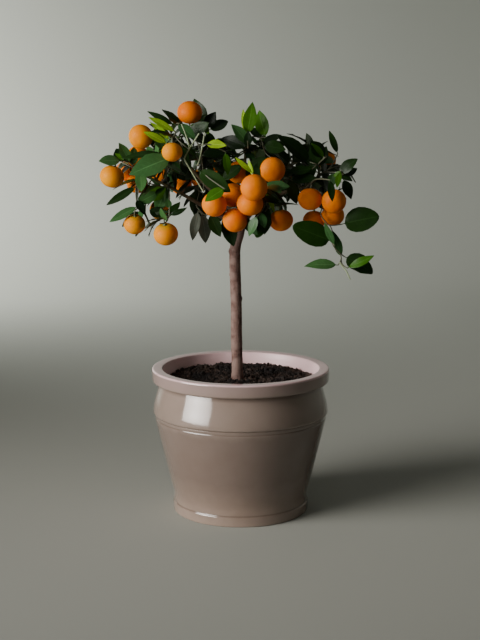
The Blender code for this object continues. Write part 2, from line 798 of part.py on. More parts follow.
def material(name, colour, roughness, coat=0.0):
    """A plain Principled material in the part's own colour."""
    made = bpy.data.materials.new(name)
    made.use_nodes = True
    shader = made.node_tree.nodes["Principled BSDF"]
    shader.inputs["Base Color"].default_value = (*colour, 1)
    shader.inputs["Roughness"].default_value = roughness
    shader.inputs["Metallic"].default_value = 0.0
    shader.inputs["Coat Weight"].default_value = coat
    made.diffuse_color = (*colour, 1)
    return made


def add_object(name, mesh, collection):
    made = bpy.data.objects.new(name, mesh)
    collection.objects.link(made)
    return made


def tube(name, points, radii, sides, collection):
    """A closed tapering tube along the points: a poly curve with a bevel, made a mesh."""
    curve = bpy.data.curves.new(name, "CURVE")
    curve.dimensions = "3D"
    curve.bevel_depth = MM
    curve.use_fill_caps = True
    profile = None
    if sides == 3:
        profile = three_sided_profile()
        curve.bevel_mode = "OBJECT"
        curve.bevel_object = profile
    else:
        curve.bevel_resolution = (sides - 4) // 2
    spline = curve.splines.new("POLY")
    spline.points.add(len(points) - 1)
    for spot, point, radius in zip(spline.points, points, radii):
        spot.co = (*(point * MM), 1)
        spot.radius = radius
    drawn = add_object(name + "_line", curve, collection)
    graph = bpy.context.evaluated_depsgraph_get()
    mesh = bpy.data.meshes.new_from_object(drawn.evaluated_get(graph))
    bpy.data.objects.remove(drawn)
    if profile:
        bpy.data.objects.remove(profile)
    weld(mesh)
    mesh.name = name
    return add_object(name, mesh, collection)


def three_sided_profile():
    """A small triangle, one millimetre in radius, as the section of a twig."""
    curve = bpy.data.curves.new("twig_section", "CURVE")
    curve.dimensions = "2D"
    spline = curve.splines.new("POLY")
    spline.points.add(2)
    spline.use_cyclic_u = True
    for i, spot in enumerate(spline.points):
        turn = -2 * math.pi * i / 3
        spot.co = (MM * math.cos(turn), MM * math.sin(turn), 0, 1)
    return add_object("twig_section", curve, bpy.context.scene.collection)


def weld(mesh):
    """Joins a tube's caps to its sides and turns every face out."""
    made = bmesh.new()
    made.from_mesh(mesh)
    bmesh.ops.remove_doubles(made, verts=made.verts, dist=0.02 * MM)
    bmesh.ops.recalc_face_normals(made, faces=made.faces)
    made.to_mesh(mesh)
    made.free()


def leaf_object(name, leaf, collection):
    """A leaf: a six-sided double cone, flattened and bent into the leaf's outline."""
    made = bmesh.new()
    bmesh.ops.create_uvsphere(made, u_segments=6, v_segments=2, radius=1)
    for vert in made.verts:
        across, along, top = vert.co
        if abs(top) > 0.5:
            point = leaf_point(leaf, LEAF_THICKEST, 0) + leaf["face"] * (top * LEAF_THICKNESS / 2)
        elif abs(across) < 0.1:
            point = leaf_point(leaf, 0.0 if along < 0 else 1.0, 0)
        else:
            point = leaf_point(leaf, 0.3 if along < 0 else 0.7, math.copysign(1.0, across))
        vert.co = point * MM
    bmesh.ops.recalc_face_normals(made, faces=made.faces)
    mesh = bpy.data.meshes.new(name)
    made.to_mesh(mesh)
    made.free()
    return add_object(name, mesh, collection)


def fruit_object(name, fruit, collection):
    """A mandarin: a sphere a little flattened along its stalk."""
    made = bmesh.new()
    bmesh.ops.create_icosphere(made, subdivisions=2, radius=fruit["across"] / 2 * FRUIT_WIDE * MM)
    turn = UP.rotation_difference(fruit["way"]).to_matrix().to_4x4()
    squat = Matrix.Diagonal((1, 1, FRUIT_SQUAT, 1))
    place = Matrix.Translation(fruit["centre"] * MM) @ turn @ squat
    bmesh.ops.transform(made, matrix=place, verts=made.verts)
    mesh = bpy.data.meshes.new(name)
    made.to_mesh(mesh)
    made.free()
    return add_object(name, mesh, collection)


def largest_piece(mesh):
    """Keeps the mesh's largest connected piece: sealed hollows and loose scraps go."""
    made = bmesh.new()
    made.from_mesh(mesh)
    left, pieces = set(made.faces), []
    while left:
        seed = left.pop()
        piece, rim = {seed}, [seed]
        while rim:
            for edge in rim.pop().edges:
                for face in edge.link_faces:
                    if face not in piece:
                        piece.add(face)
                        rim.append(face)
        left -= piece
        pieces.append(piece)
    pieces.sort(key=len)
    bmesh.ops.delete(made, geom=[f for piece in pieces[:-1] for f in piece], context="FACES")
    bmesh.ops.triangulate(made, faces=made.faces)
    made.to_mesh(mesh)
    made.free()
    return len(pieces) - 1


def fuse(base, parts, solver):
    """One Boolean union of the base with all the parts, applied; the parts are removed."""
    union = base.modifiers.new("union", "BOOLEAN")
    union.operation = "UNION"
    union.operand_type = "COLLECTION"
    union.collection = parts
    union.solver = solver
    graph = bpy.context.evaluated_depsgraph_get()
    mesh = bpy.data.meshes.new_from_object(base.evaluated_get(graph))
    base.modifiers.clear()
    base.data = mesh
    for part in list(parts.objects):
        bpy.data.objects.remove(part)
    bpy.data.collections.remove(parts)
    return largest_piece(mesh)


def make_mass(mass, grown, look, tree):
    """One mass of foliage as one solid, fused from its stem, shoots, leaves and fruit."""
    parts = bpy.data.collections.new("parts_of_" + mass)
    bpy.context.scene.collection.children.link(parts)
    stem = tube("foliage_" + mass, grown["stem"]["points"], grown["stem"]["radii"], 6, tree)
    for i, shoot in enumerate(grown["shoots"]):
        tube(f"shoot_{i}", shoot["points"], shoot["radii"], 3, parts)
    for i, leaf in enumerate(grown["leaves"]):
        leaf_object(f"leaf_{i}", leaf, parts)
    for i, fruit in enumerate(grown["fruit"]):
        fruit_object(f"fruit_{i}", fruit, parts)
    scraps = fuse(stem, parts, "EXACT")
    stem.data.materials.clear()
    stem.data.materials.append(look)
    print(
        stem.name, len(grown["shoots"]), "shoots", len(grown["leaves"]), "leaves",
        len(grown["fruit"]), "fruit", scraps, "scraps", len(stem.data.polygons), "triangles",
    )
    return stem


def turned(name, profile, steps, look, collection):
    """A turned solid: the profile runs from the axis, up the inside and down the outside."""
    mesh = bpy.data.meshes.new(name)
    points = [(r * MM, 0, z * MM) for r, z in profile]
    mesh.from_pydata(points, [(i, i + 1) for i in range(len(points) - 1)], [])
    made = add_object(name, mesh, collection)
    screw = made.modifiers.new("turn", "SCREW")
    screw.steps = steps
    screw.render_steps = steps
    screw.use_merge_vertices = True
    screw.merge_threshold = 0.00001
    screw.use_smooth_shade = True
    mesh.materials.append(look)
    return made


def pot_inside():
    """The inside of the pot, from the middle of its floor up to the mouth."""
    return [
        (0.0, FLOOR),
        (WAIST_RADIUS - WALL, FLOOR),
        (BODY_LOW[0] - WALL - 3, BODY_LOW[1] - 3),
        (BELLY_RADIUS - WALL - 1.5, BELLY_HEIGHT + 2),
        (SOIL_RADIUS, POT_HEIGHT - RIM_DEPTH - 4),
        (SOIL_RADIUS, SOIL_LEVEL + SOIL_RISE),
        (MOUTH_RADIUS - 4, POT_HEIGHT - 7),
        (MOUTH_RADIUS, POT_HEIGHT - 2.2),
    ]


def pot_outside():
    """The outside of the pot, from the top of the rim down to the middle of the underside."""
    rim_foot = POT_HEIGHT - RIM_DEPTH
    return [
        (MOUTH_RADIUS + 3.5, POT_HEIGHT - 0.4),
        (RIM_RADIUS - 4.5, POT_HEIGHT),
        (RIM_RADIUS - 1.2, POT_HEIGHT - 1.6),
        (RIM_RADIUS, POT_HEIGHT - 5.0),
        (RIM_RADIUS - 0.2, rim_foot + 3.0),
        (RIM_RADIUS - 3.0, rim_foot),
        (NECK_RADIUS, rim_foot - 2.4),
        (NECK_RADIUS + 2.0, rim_foot - 12.0),
        (BELLY_RADIUS - 1.6, BELLY_HEIGHT + 14),
        (BELLY_RADIUS, BELLY_HEIGHT),
        (BELLY_RADIUS - 3.0, BELLY_HEIGHT - 4),
        (BELLY_RADIUS - 4.8, BELLY_HEIGHT - 23),
        BODY_HIGH,
        BODY_LOW,
        (WAIST_RADIUS, WAIST_HEIGHT),
        (FOOT_RADIUS, 12.0),
        (FOOT_RADIUS, 3.0),
        (FOOT_RADIUS - 2.5, 0.0),
        (0.0, 0.0),
    ]


def soil_profile():
    """The compost: the pot's inside, a gap smaller all round, closed by its own surface."""
    wall = [(max(0.0, r - 2 * GAP), z + (2 * GAP if z == FLOOR else 0.0)) for r, z in pot_inside()[:5]]
    top = SOIL_LEVEL + SOIL_RISE
    edge = [(SOIL_RADIUS - 2 * GAP, top - SOIL_CHAMFER), (SOIL_RADIUS - SOIL_EDGE, top)]
    return (wall + edge + [(SOIL_FLAT_RADIUS, SOIL_LEVEL), (0.0, SOIL_LEVEL)])[::-1]


def make_trunk(look, tree):
    """The trunk, with a flat foot on the compost and knobs where shoots were pruned."""
    points, radii = trunk_line()
    trunk = tube("trunk", points, radii, 12, tree)
    knobs = bpy.data.collections.new("knobs")
    bpy.context.scene.collection.children.link(knobs)
    for i, (height, compass, size) in enumerate(TRUNK_KNOBS):
        low = max(k for k in range(len(points) - 1) if points[k].z <= height)
        share = (height - points[low].z) / (points[low + 1].z - points[low].z)
        middle = points[low].lerp(points[low + 1], share)
        turn = math.radians(compass)
        spot = middle + Vector((math.cos(turn), math.sin(turn), 0)) * (radii[low] - size * KNOB_SUNK)
        made = bmesh.new()
        place = Matrix.Translation(spot * MM)
        bmesh.ops.create_icosphere(made, subdivisions=1, radius=size * MM, matrix=place)
        mesh = bpy.data.meshes.new(f"knob_{i}")
        made.to_mesh(mesh)
        made.free()
        add_object(mesh.name, mesh, knobs)
    fuse(trunk, knobs, "EXACT")
    trunk.data.materials.clear()
    trunk.data.materials.append(look)
    return trunk


def make_boughs(look, tree):
    """The boughs, each cut to the trunk that it grows from, a gap clear of it."""
    cutters = bpy.data.collections.new("cutters")
    bpy.context.scene.collection.children.link(cutters)
    points, radii = trunk_line(GAP)
    points[-1] = points[-1] + UP * GAP
    cutter = tube("trunk_cutter", points, radii, 12, cutters)
    cutter.hide_render = True
    cutter.display_type = "WIRE"
    for name in BOUGHS:
        points, radii = bough_line(name, 5)
        bough = tube("bough_" + name, points, radii, 6, tree)
        cut = bough.modifiers.new("cut", "BOOLEAN")
        cut.operation = "DIFFERENCE"
        cut.object = cutter
        cut.solver = "EXACT"
        bough.data.materials.append(look)


def main():
    for old in list(bpy.data.objects):
        bpy.data.objects.remove(old)
    tree = bpy.data.collections.new("mandarin_tree")
    bpy.context.scene.collection.children.link(tree)
    glaze = material("taupe_glaze", (0.36, 0.29, 0.25), 0.12, 0.6)
    compost = material("compost", (0.022, 0.016, 0.013), 0.95)
    bark = material("bark", (0.22, 0.12, 0.095), 0.8)
    leaf = material("leaf", (0.03, 0.085, 0.022), 0.4)
    turned("pot", pot_inside() + pot_outside(), POT_STEPS, glaze, tree)
    turned("soil", soil_profile(), SOIL_STEPS, compost, tree)
    make_trunk(bark, tree)
    make_boughs(bark, tree)
    for mass, grown in grow_crown().items():
        make_mass(mass, grown, leaf, tree)


main()
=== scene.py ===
# %% [markdown]
# # A mandarin orange tree in a glazed pot
# The real thing is a small citrus tree grown as a standard: a bare stem as thick as a thumb, a broad
# crown of glossy leaves on thin green shoots, and ripe mandarins hanging in twos and fives. It
# stands in compost in a turned, glazed pot. The CAD model gives its frame: metres, +Z up, the origin
# under the pot, seen from -Y. Everything below is made in that frame and rides on its one body.

# %% Load the frame
import math
import random

import bmesh
import bpy
from mathutils import Matrix, Vector, noise
from mathutils.kdtree import KDTree


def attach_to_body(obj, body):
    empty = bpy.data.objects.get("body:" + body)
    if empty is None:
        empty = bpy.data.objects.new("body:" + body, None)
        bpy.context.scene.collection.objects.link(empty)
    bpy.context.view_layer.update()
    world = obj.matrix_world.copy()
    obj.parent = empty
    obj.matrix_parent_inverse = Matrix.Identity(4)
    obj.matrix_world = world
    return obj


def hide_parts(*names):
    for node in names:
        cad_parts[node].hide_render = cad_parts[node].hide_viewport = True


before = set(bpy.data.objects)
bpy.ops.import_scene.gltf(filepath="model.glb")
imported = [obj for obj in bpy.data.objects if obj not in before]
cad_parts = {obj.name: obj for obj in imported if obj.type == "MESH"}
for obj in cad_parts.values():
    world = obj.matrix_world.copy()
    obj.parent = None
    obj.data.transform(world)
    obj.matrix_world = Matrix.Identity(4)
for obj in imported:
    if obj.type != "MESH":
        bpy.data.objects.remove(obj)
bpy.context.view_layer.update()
BODY = "root"
MM = 0.001
UP = Vector((0, 0, 1))

# %% [markdown]
# ## Camera
# A camera is fitted, not guessed: the widths of the pot's rim and foot and the height between them
# fix the distance and the tilt. A 70 mm lens from a little above the rim gives the same ellipses.

# %% Camera
CAMERA_PLACE = (-0.001, -1.829, 0.594)
CAMERA_LENS = 70.0
CAMERA_PITCH = 9.5

camera = bpy.data.objects.new("camera", bpy.data.cameras.new("camera"))
camera.data.lens = CAMERA_LENS
camera.data.sensor_fit = "VERTICAL"
camera.data.sensor_height = 36.0
camera.location = CAMERA_PLACE
camera.rotation_euler = (math.radians(90 - CAMERA_PITCH), 0, 0)
bpy.context.scene.collection.objects.link(camera)
bpy.context.scene.camera = camera
print("the camera stands", round(Vector(CAMERA_PLACE).length, 2), "m away")

# %% [markdown]
# ## Helpers for meshes and nodes
# Three things are needed again and again: a mesh turned into a linked object, the result of an
# object's modifiers as a plain mesh, and a node added to a tree with its inputs filled in one call.


# %% Helpers for meshes
def add_object(name, data):
    """An object that is linked to the scene, at the origin, unturned and unscaled."""
    made = bpy.data.objects.new(name, data)
    bpy.context.scene.collection.objects.link(made)
    return made


def add_mesh(name, verts, faces):
    """An object from lists of points and faces."""
    mesh = bpy.data.meshes.new(name)
    mesh.from_pydata([tuple(v) for v in verts], [], faces)
    return add_object(name, mesh)


def from_bmesh(name, made):
    """An object from a bmesh, which is freed."""
    mesh = bpy.data.meshes.new(name)
    made.to_mesh(mesh)
    made.free()
    return add_object(name, mesh)


def settle(piece):
    """Turns the result of the piece's modifiers into its plain mesh."""
    graph = bpy.context.evaluated_depsgraph_get()
    mesh = bpy.data.meshes.new_from_object(
        piece.evaluated_get(graph), preserve_all_data_layers=True, depsgraph=graph
    )
    mesh.name = piece.name
    piece.modifiers.clear()
    piece.data = mesh
    return mesh


def finish_piece(piece, nodes, look=None):
    """The frame's calls for a finished piece: its body and the CAD nodes it stands for."""
    if look:
        piece.data.materials.clear()
        piece.data.materials.append(look)
    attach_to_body(piece, BODY)
    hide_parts(*nodes)
    piece.data.calc_loop_triangles()
    print(piece.name, "has", len(piece.data.loop_triangles), "triangles")


# %% Helpers for nodes
def socket_of(sockets, name):
    """The socket of that name that is in use with the node's present settings."""
    return next(s for s in sockets if s.name == name and s.enabled)


def put(tree, kind, values=None, **settings):
    """Adds a node, sets it up, and fills its inputs with values or with links."""
    made = tree.nodes.new(kind)
    for key, value in settings.items():
        setattr(made, key, value)
    for name, value in (values or {}).items():
        socket = made.inputs[name] if isinstance(name, int) else socket_of(made.inputs, name)
        if isinstance(value, bpy.types.NodeSocket):
            tree.links.new(value, socket)
        else:
            socket.default_value = value
    return made


def maths(tree, operation, a, b=0.0):
    """The result of a Math node."""
    return put(tree, "ShaderNodeMath", {0: a, 1: b}, operation=operation).outputs[0]


def vectors(tree, operation, a, b):
    """The result of a Vector Math node; SCALE takes a number as b."""
    slot = 3 if operation == "SCALE" else 1
    return put(tree, "ShaderNodeVectorMath", {0: a, slot: b}, operation=operation).outputs[0]


def mapped(tree, value, low, high, to_low=0.0, to_high=1.0):
    """The value, taken from low..high to to_low..to_high and kept there."""
    values = {"Value": value, "From Min": low, "From Max": high, "To Min": to_low, "To Max": to_high}
    return put(tree, "ShaderNodeMapRange", values).outputs["Result"]


def blended(tree, share, a, b):
    """Colour a where the share is 0 and colour b where it is 1."""
    made = put(tree, "ShaderNodeMix", {"Factor": share}, data_type="RGBA")
    for name, value in (("A", a), ("B", b)):
        socket = socket_of(made.inputs, name)
        if isinstance(value, bpy.types.NodeSocket):
            tree.links.new(value, socket)
        else:
            socket.default_value = (*value, 1)
    return socket_of(made.outputs, "Result")


def start_group(name, kind, inputs, outputs):
    """An empty node group with named sockets, and its input and output nodes."""
    tree = bpy.data.node_groups.new(name, kind)
    for label, socket, value in inputs:
        made = tree.interface.new_socket(label, in_out="INPUT", socket_type=socket)
        if value is not None:
            made.default_value = value
    for label, socket in outputs:
        tree.interface.new_socket(label, in_out="OUTPUT", socket_type=socket)
    return tree, put(tree, "NodeGroupInput").outputs, put(tree, "NodeGroupOutput").inputs


def start_material(name, roughness):
    """A material with an empty Principled shader, its tree and the shader."""
    made = bpy.data.materials.new(name)
    made.use_nodes = True
    tree = made.node_tree
    tree.nodes.clear()
    shader = put(tree, "ShaderNodeBsdfPrincipled", {"Roughness": roughness})
    put(tree, "ShaderNodeOutputMaterial", {"Surface": shader.outputs["BSDF"]})
    return made, tree, shader


def grow_with(piece, tree, **values):
    """Runs a geometry tree on a piece, its inputs set by identifier, and keeps the plain mesh."""
    modifier = piece.modifiers.new(tree.name, "NODES")
    modifier.node_group = tree
    for item in tree.interface.items_tree:
        if item.in_out == "INPUT" and item.name in values:
            modifier[item.identifier] = values[item.name]
    return settle(piece)


# %% [markdown]
# ## Stage
# A pale floor that bends up all round works like a photographer's sweep: no horizon shows from
# any side. A plane with a grey sky would do too, but its edge would cut the crown.
# The light is one big soft box on the left, a little in front, with a weak one overhead and one
# that only lights the sweep behind: the fruit get bright left sides, the glaze one soft highlight,
# and what is turned away from the box falls off into near-black, as by one large window.

# %% Stage
FLOOR_RADIUS = 3.4
SWEEP_RADIUS = 1.2
SWEEP_HEIGHT = 5.0
FLOOR_COLOUR = (0.42, 0.428, 0.385)


def sweep_outline():
    """The floor's radius and height, out to the bend and up the side."""
    outline = [(0.0, 0.0), (FLOOR_RADIUS - SWEEP_RADIUS, 0.0)]
    for i in range(1, 13):
        turn = math.pi / 2 * i / 12
        reach = FLOOR_RADIUS - SWEEP_RADIUS * (1 - math.sin(turn))
        outline.append((reach, SWEEP_RADIUS * (1 - math.cos(turn))))
    return outline + [(FLOOR_RADIUS, SWEEP_HEIGHT)]


def turn_outline(name, outline, steps):
    """A piece turned on the Z axis from an outline of (radius, height)."""
    mesh = bpy.data.meshes.new(name)
    mesh.from_pydata([(r, 0, z) for r, z in outline], [(i, i + 1) for i in range(len(outline) - 1)], [])
    piece = add_object(name, mesh)
    screw = piece.modifiers.new("turn", "SCREW")
    screw.steps = steps
    screw.render_steps = steps
    screw.use_merge_vertices = True
    screw.merge_threshold = 0.00001
    screw.use_smooth_shade = True
    settle(piece)
    return piece


floor = turn_outline("floor", sweep_outline(), 96)
floor_look, floor_tree, floor_shader = start_material("pale_floor", 0.9)
floor_shader.inputs["Base Color"].default_value = (*FLOOR_COLOUR, 1)
floor.data.materials.append(floor_look)
print("the floor is", 2 * FLOOR_RADIUS, "m across")

# %% Lights
# Each light: place, aim, size, watts, colour and the spread of its beam in degrees.
LIGHTS = {
    "key": ((-1.75, -1.05, 0.75), (0.1, -0.1, 0.37), (1.5, 1.4), 16.0, (1.0, 0.97, 0.92), 64.0),
    "backdrop": ((-1.8, 2.0, 1.4), (-0.7, 2.9, 0.2), (0.8, 0.6), 38.0, (0.98, 1.0, 0.96), 130.0),
    "overhead": ((0.3, -0.9, 2.2), (0.0, 0.0, 0.3), (1.4, 1.0), 2.0, (1.0, 0.97, 0.93), 180.0),
}
WORLD_COLOUR = (0.80, 0.84, 0.86)
WORLD_STRENGTH = 0.07


def add_light(name, place, aim, size, watts, colour, spread):
    """A rectangular area light that faces the aim."""
    data = bpy.data.lights.new(name, "AREA")
    data.shape = "RECTANGLE"
    data.size, data.size_y = size
    data.energy = watts
    data.spread = math.radians(spread)
    data.color = colour
    made = add_object(name, data)
    made.location = place
    made.rotation_euler = (Vector(aim) - Vector(place)).to_track_quat("-Z", "Y").to_euler()


for name, facts in LIGHTS.items():
    add_light(name, *facts)
world = bpy.data.worlds.new("soft_sky")
world.use_nodes = True
world.node_tree.nodes["Background"].inputs["Color"].default_value = (*WORLD_COLOUR, 1)
world.node_tree.nodes["Background"].inputs["Strength"].default_value = WORLD_STRENGTH
bpy.context.scene.world = world
print("the lights are", ", ".join(LIGHTS))

# %% [markdown]
# ## Effects that several finishes share
# Real surfaces are never one flat colour. Two node groups give most of the life here: one mixes
# two colours in soft clouds of a given size, and one gives the height of a fine grain for a bump.
# Both read Object coordinates, so a pattern stays put on the piece from every side.


# %% Shared shader groups
def make_clouds():
    """Two colours mixed in clouds of a given size, softly or sharply."""
    tree, given, result = start_group(
        "clouds",
        "ShaderNodeTree",
        (
            ("Colour A", "NodeSocketColor", (0.5, 0.5, 0.5, 1)),
            ("Colour B", "NodeSocketColor", (0.2, 0.2, 0.2, 1)),
            ("Size", "NodeSocketFloat", 0.01),
            ("Softness", "NodeSocketFloat", 0.2),
        ),
        (("Colour", "NodeSocketColor"), ("Mask", "NodeSocketFloat")),
    )
    place = put(tree, "ShaderNodeTexCoord").outputs["Object"]
    spot = vectors(tree, "SCALE", place, maths(tree, "DIVIDE", 1.0, given["Size"]))
    clouds = put(tree, "ShaderNodeTexNoise", {"Vector": spot, "Scale": 1.0, "Detail": 4.0}).outputs[0]
    low = maths(tree, "SUBTRACT", 0.5, given["Softness"])
    high = maths(tree, "ADD", 0.5, given["Softness"])
    mask = mapped(tree, clouds, low, high)
    tree.links.new(blended(tree, mask, given["Colour A"], given["Colour B"]), result["Colour"])
    tree.links.new(mask, result["Mask"])
    return tree


def make_grain():
    """The height of a fine grain; a stretch above 1 draws it out along Z into fibres."""
    tree, given, result = start_group(
        "grain",
        "ShaderNodeTree",
        (("Size", "NodeSocketFloat", 0.001), ("Stretch", "NodeSocketFloat", 1.0)),
        (("Height", "NodeSocketFloat"),),
    )
    place = put(tree, "ShaderNodeTexCoord").outputs["Object"]
    spot = vectors(tree, "SCALE", place, maths(tree, "DIVIDE", 1.0, given["Size"]))
    shrink = put(
        tree,
        "ShaderNodeCombineXYZ",
        {"X": 1.0, "Y": 1.0, "Z": maths(tree, "DIVIDE", 1.0, given["Stretch"])},
    ).outputs[0]
    spot = vectors(tree, "MULTIPLY", spot, shrink)
    grain = put(tree, "ShaderNodeTexNoise", {"Vector": spot, "Scale": 1.0, "Detail": 5.0}).outputs[0]
    tree.links.new(grain, result["Height"])
    return tree


CLOUDS = make_clouds()
GRAIN = make_grain()


def clouds_in(tree, colour_a, colour_b, size, softness=0.2):
    """The clouds group placed in a material with its own values."""
    made = put(tree, "ShaderNodeGroup", node_tree=CLOUDS)
    for name, value in (("Colour A", colour_a), ("Colour B", colour_b)):
        if isinstance(value, bpy.types.NodeSocket):
            tree.links.new(value, made.inputs[name])
        else:
            made.inputs[name].default_value = (*value, 1)
    made.inputs["Size"].default_value = size
    made.inputs["Softness"].default_value = softness
    return made.outputs


def bump_in(tree, shader, height, strength, depth):
    """A bump from a height, set on the shader's normal."""
    values = {"Height": height, "Strength": strength, "Distance": depth}
    tree.links.new(put(tree, "ShaderNodeBump", values).outputs["Normal"], shader.inputs["Normal"])


def grain_in(tree, size, stretch=1.0):
    """The grain group placed in a material with its own values."""
    made = put(tree, "ShaderNodeGroup", node_tree=GRAIN)
    made.inputs["Size"].default_value = size
    made.inputs["Stretch"].default_value = stretch
    return made.outputs["Height"]


print("shared groups:", CLOUDS.name, GRAIN.name)

# %% [markdown]
# ## Pot
# The real pot is thrown on a wheel: a foot band, a straight flaring body, a ridge where a second
# rounded shoulder overhangs it, a neck and a thick rolled rim. So its outline is drawn once as
# corners, each with its own rounding, and turned on the axis. A lathe does just the same, and the
# corners stay easy to change. The sizes are the CAD pot's, with the lines a wheel leaves added.

# %% Pot outline
POT_HEIGHT = 217.0
RIM = 132.5
MOUTH = 117.0
WALL = 11.0
POT_FLOOR = 14.0
SOIL_RADIUS = 108.0
SOIL_LEVEL = 198.0
SOIL_RISE = 2.5

# Each corner: radius from the axis, height, and how far back its rounding starts.
POT_OUTSIDE = (
    (0.0, 0.6, 0.0),
    (96.0, 0.6, 1.0),
    (97.5, 0.0, 0.8),
    (102.2, 0.0, 2.2),
    (102.2, 13.8, 1.6),
    (100.9, 15.8, 1.0),
    (101.0, 18.5, 2.0),
    (100.4, 27.0, 9.0),
    (107.5, 53.0, 13.0),
    (128.0, 138.4, 3.0),
    (128.5, 142.2, 0.9),
    (127.9, 143.4, 0.7),
    (128.9, 147.0, 1.2),
    (128.6, 148.4, 0.7),
    (131.4, 150.4, 1.8),
    (129.6, 165.0, 9.0),
    (123.2, 186.5, 6.0),
    (121.2, 196.0, 1.4),
    (132.4, 197.8, 3.4),
    (132.8, 217.2, 3.0),
)
POT_INSIDE = (
    (117.2, 216.6, 1.6),
    (114.6, 209.0, 3.0),
    (108.2, 197.0, 3.0),
    (108.2, 187.0, 4.0),
    (118.0, 154.0, 8.0),
    (93.6, 50.0, 10.0),
    (89.6, POT_FLOOR, 6.0),
    (0.0, POT_FLOOR, 0.0),
)


def bezier(start, via, end, steps):
    """Points on the bend from start to end that leaves towards via and arrives from it."""
    points = []
    for i in range(steps + 1):
        t = i / steps
        points.append(start * (1 - t) ** 2 + via * (2 * t * (1 - t)) + end * t**2)
    return points


def rounded(corners, steps=6):
    """An outline through corners, each rounded from its own distance before and after it."""
    spots = [Vector((r, z)) for r, z, _ in corners]
    outline = [spots[0]]
    for before, here, after, (_, _, cut) in zip(spots, spots[1:], spots[2:], corners[1:]):
        back, on = before - here, after - here
        start = here + back.normalized() * min(cut, back.length * 0.49)
        end = here + on.normalized() * min(cut, on.length * 0.49)
        outline += bezier(start, here, end, steps)
    return outline + [spots[-1]]


pot = turn_outline("pot_glazed", [(p.x * MM, p.y * MM) for p in rounded(POT_OUTSIDE + POT_INSIDE)], 160)
print("the pot's outline has", len(rounded(POT_OUTSIDE + POT_INSIDE)), "points")

# %% [markdown]
# The wheel leaves the pot a hair out of true, and a real glaze shows it in every long highlight.
# A slow wave of a few tenths of a millimetre is enough, laid on by moving the points outwards.

# %% Pot surface
THROWN_WAVE = 0.35


def throw_waves(mesh):
    """Moves each point of the pot a little in or out, in slow waves round and up the wall."""
    for vert in mesh.vertices:
        flat = Vector((vert.co.x, vert.co.y, 0))
        if flat.length > 0.02:
            wave = noise.noise(Vector((flat.x * 9, flat.y * 9, vert.co.z * 22)))
            vert.co += flat.normalized() * (wave * THROWN_WAVE * MM)


def face_outwards(mesh):
    """Merges doubles and turns every face of a closed mesh outwards."""
    made = bmesh.new()
    made.from_mesh(mesh)
    bmesh.ops.remove_doubles(made, verts=made.verts, dist=0.000002)
    bmesh.ops.recalc_face_normals(made, faces=made.faces)
    made.to_mesh(mesh)
    made.free()


throw_waves(pot.data)
face_outwards(pot.data)
print("the pot's wall is waved by", THROWN_WAVE, "mm")

# %% [markdown]
# The glaze is a warm grey-brown, thin and pinkish on the rim and down inside the mouth. A ramp
# over the height, made a little uneven, paints light and shade into it: lighter on the shoulder,
# which faces up, darker on the lower body, which faces down, and lighter again on the foot band as
# painted bounce light from below. Narrow bands darken the lines under the ridge and over the foot
# band, and a wider one under the rim is a painted shadow of its overhang. Clouds give the mottling.
# The gloss is the shader's own low roughness, with a coat, as glass melted on clay has.

# %% Glaze
# Glaze colour by height share, with painted light and shade: lighter on the upward shoulder, darker on the
# downward lower body, lighter on the foot as painted bounce light.
GLAZE_AND_SHADE_BY_HEIGHT = (
    (0.000, (0.300, 0.228, 0.188)),
    (0.090, (0.250, 0.185, 0.150)),
    (0.300, (0.170, 0.126, 0.105)),
    (0.620, (0.184, 0.138, 0.117)),
    (0.720, (0.262, 0.204, 0.172)),
    (0.900, (0.272, 0.210, 0.178)),
    (0.940, (0.290, 0.215, 0.195)),
)
GLAZE_THIN = (0.800, 0.565, 0.580)
# Dark bands, each as height and half width: three in the grooves over the foot band and at the ridge, and a
# wider one under the rim that is a painted shadow.
GROOVE_BANDS_AND_RIM_SHADOW = ((0.0157, 0.0016), (0.1432, 0.0010), (0.1486, 0.0012), (0.1945, 0.0055))


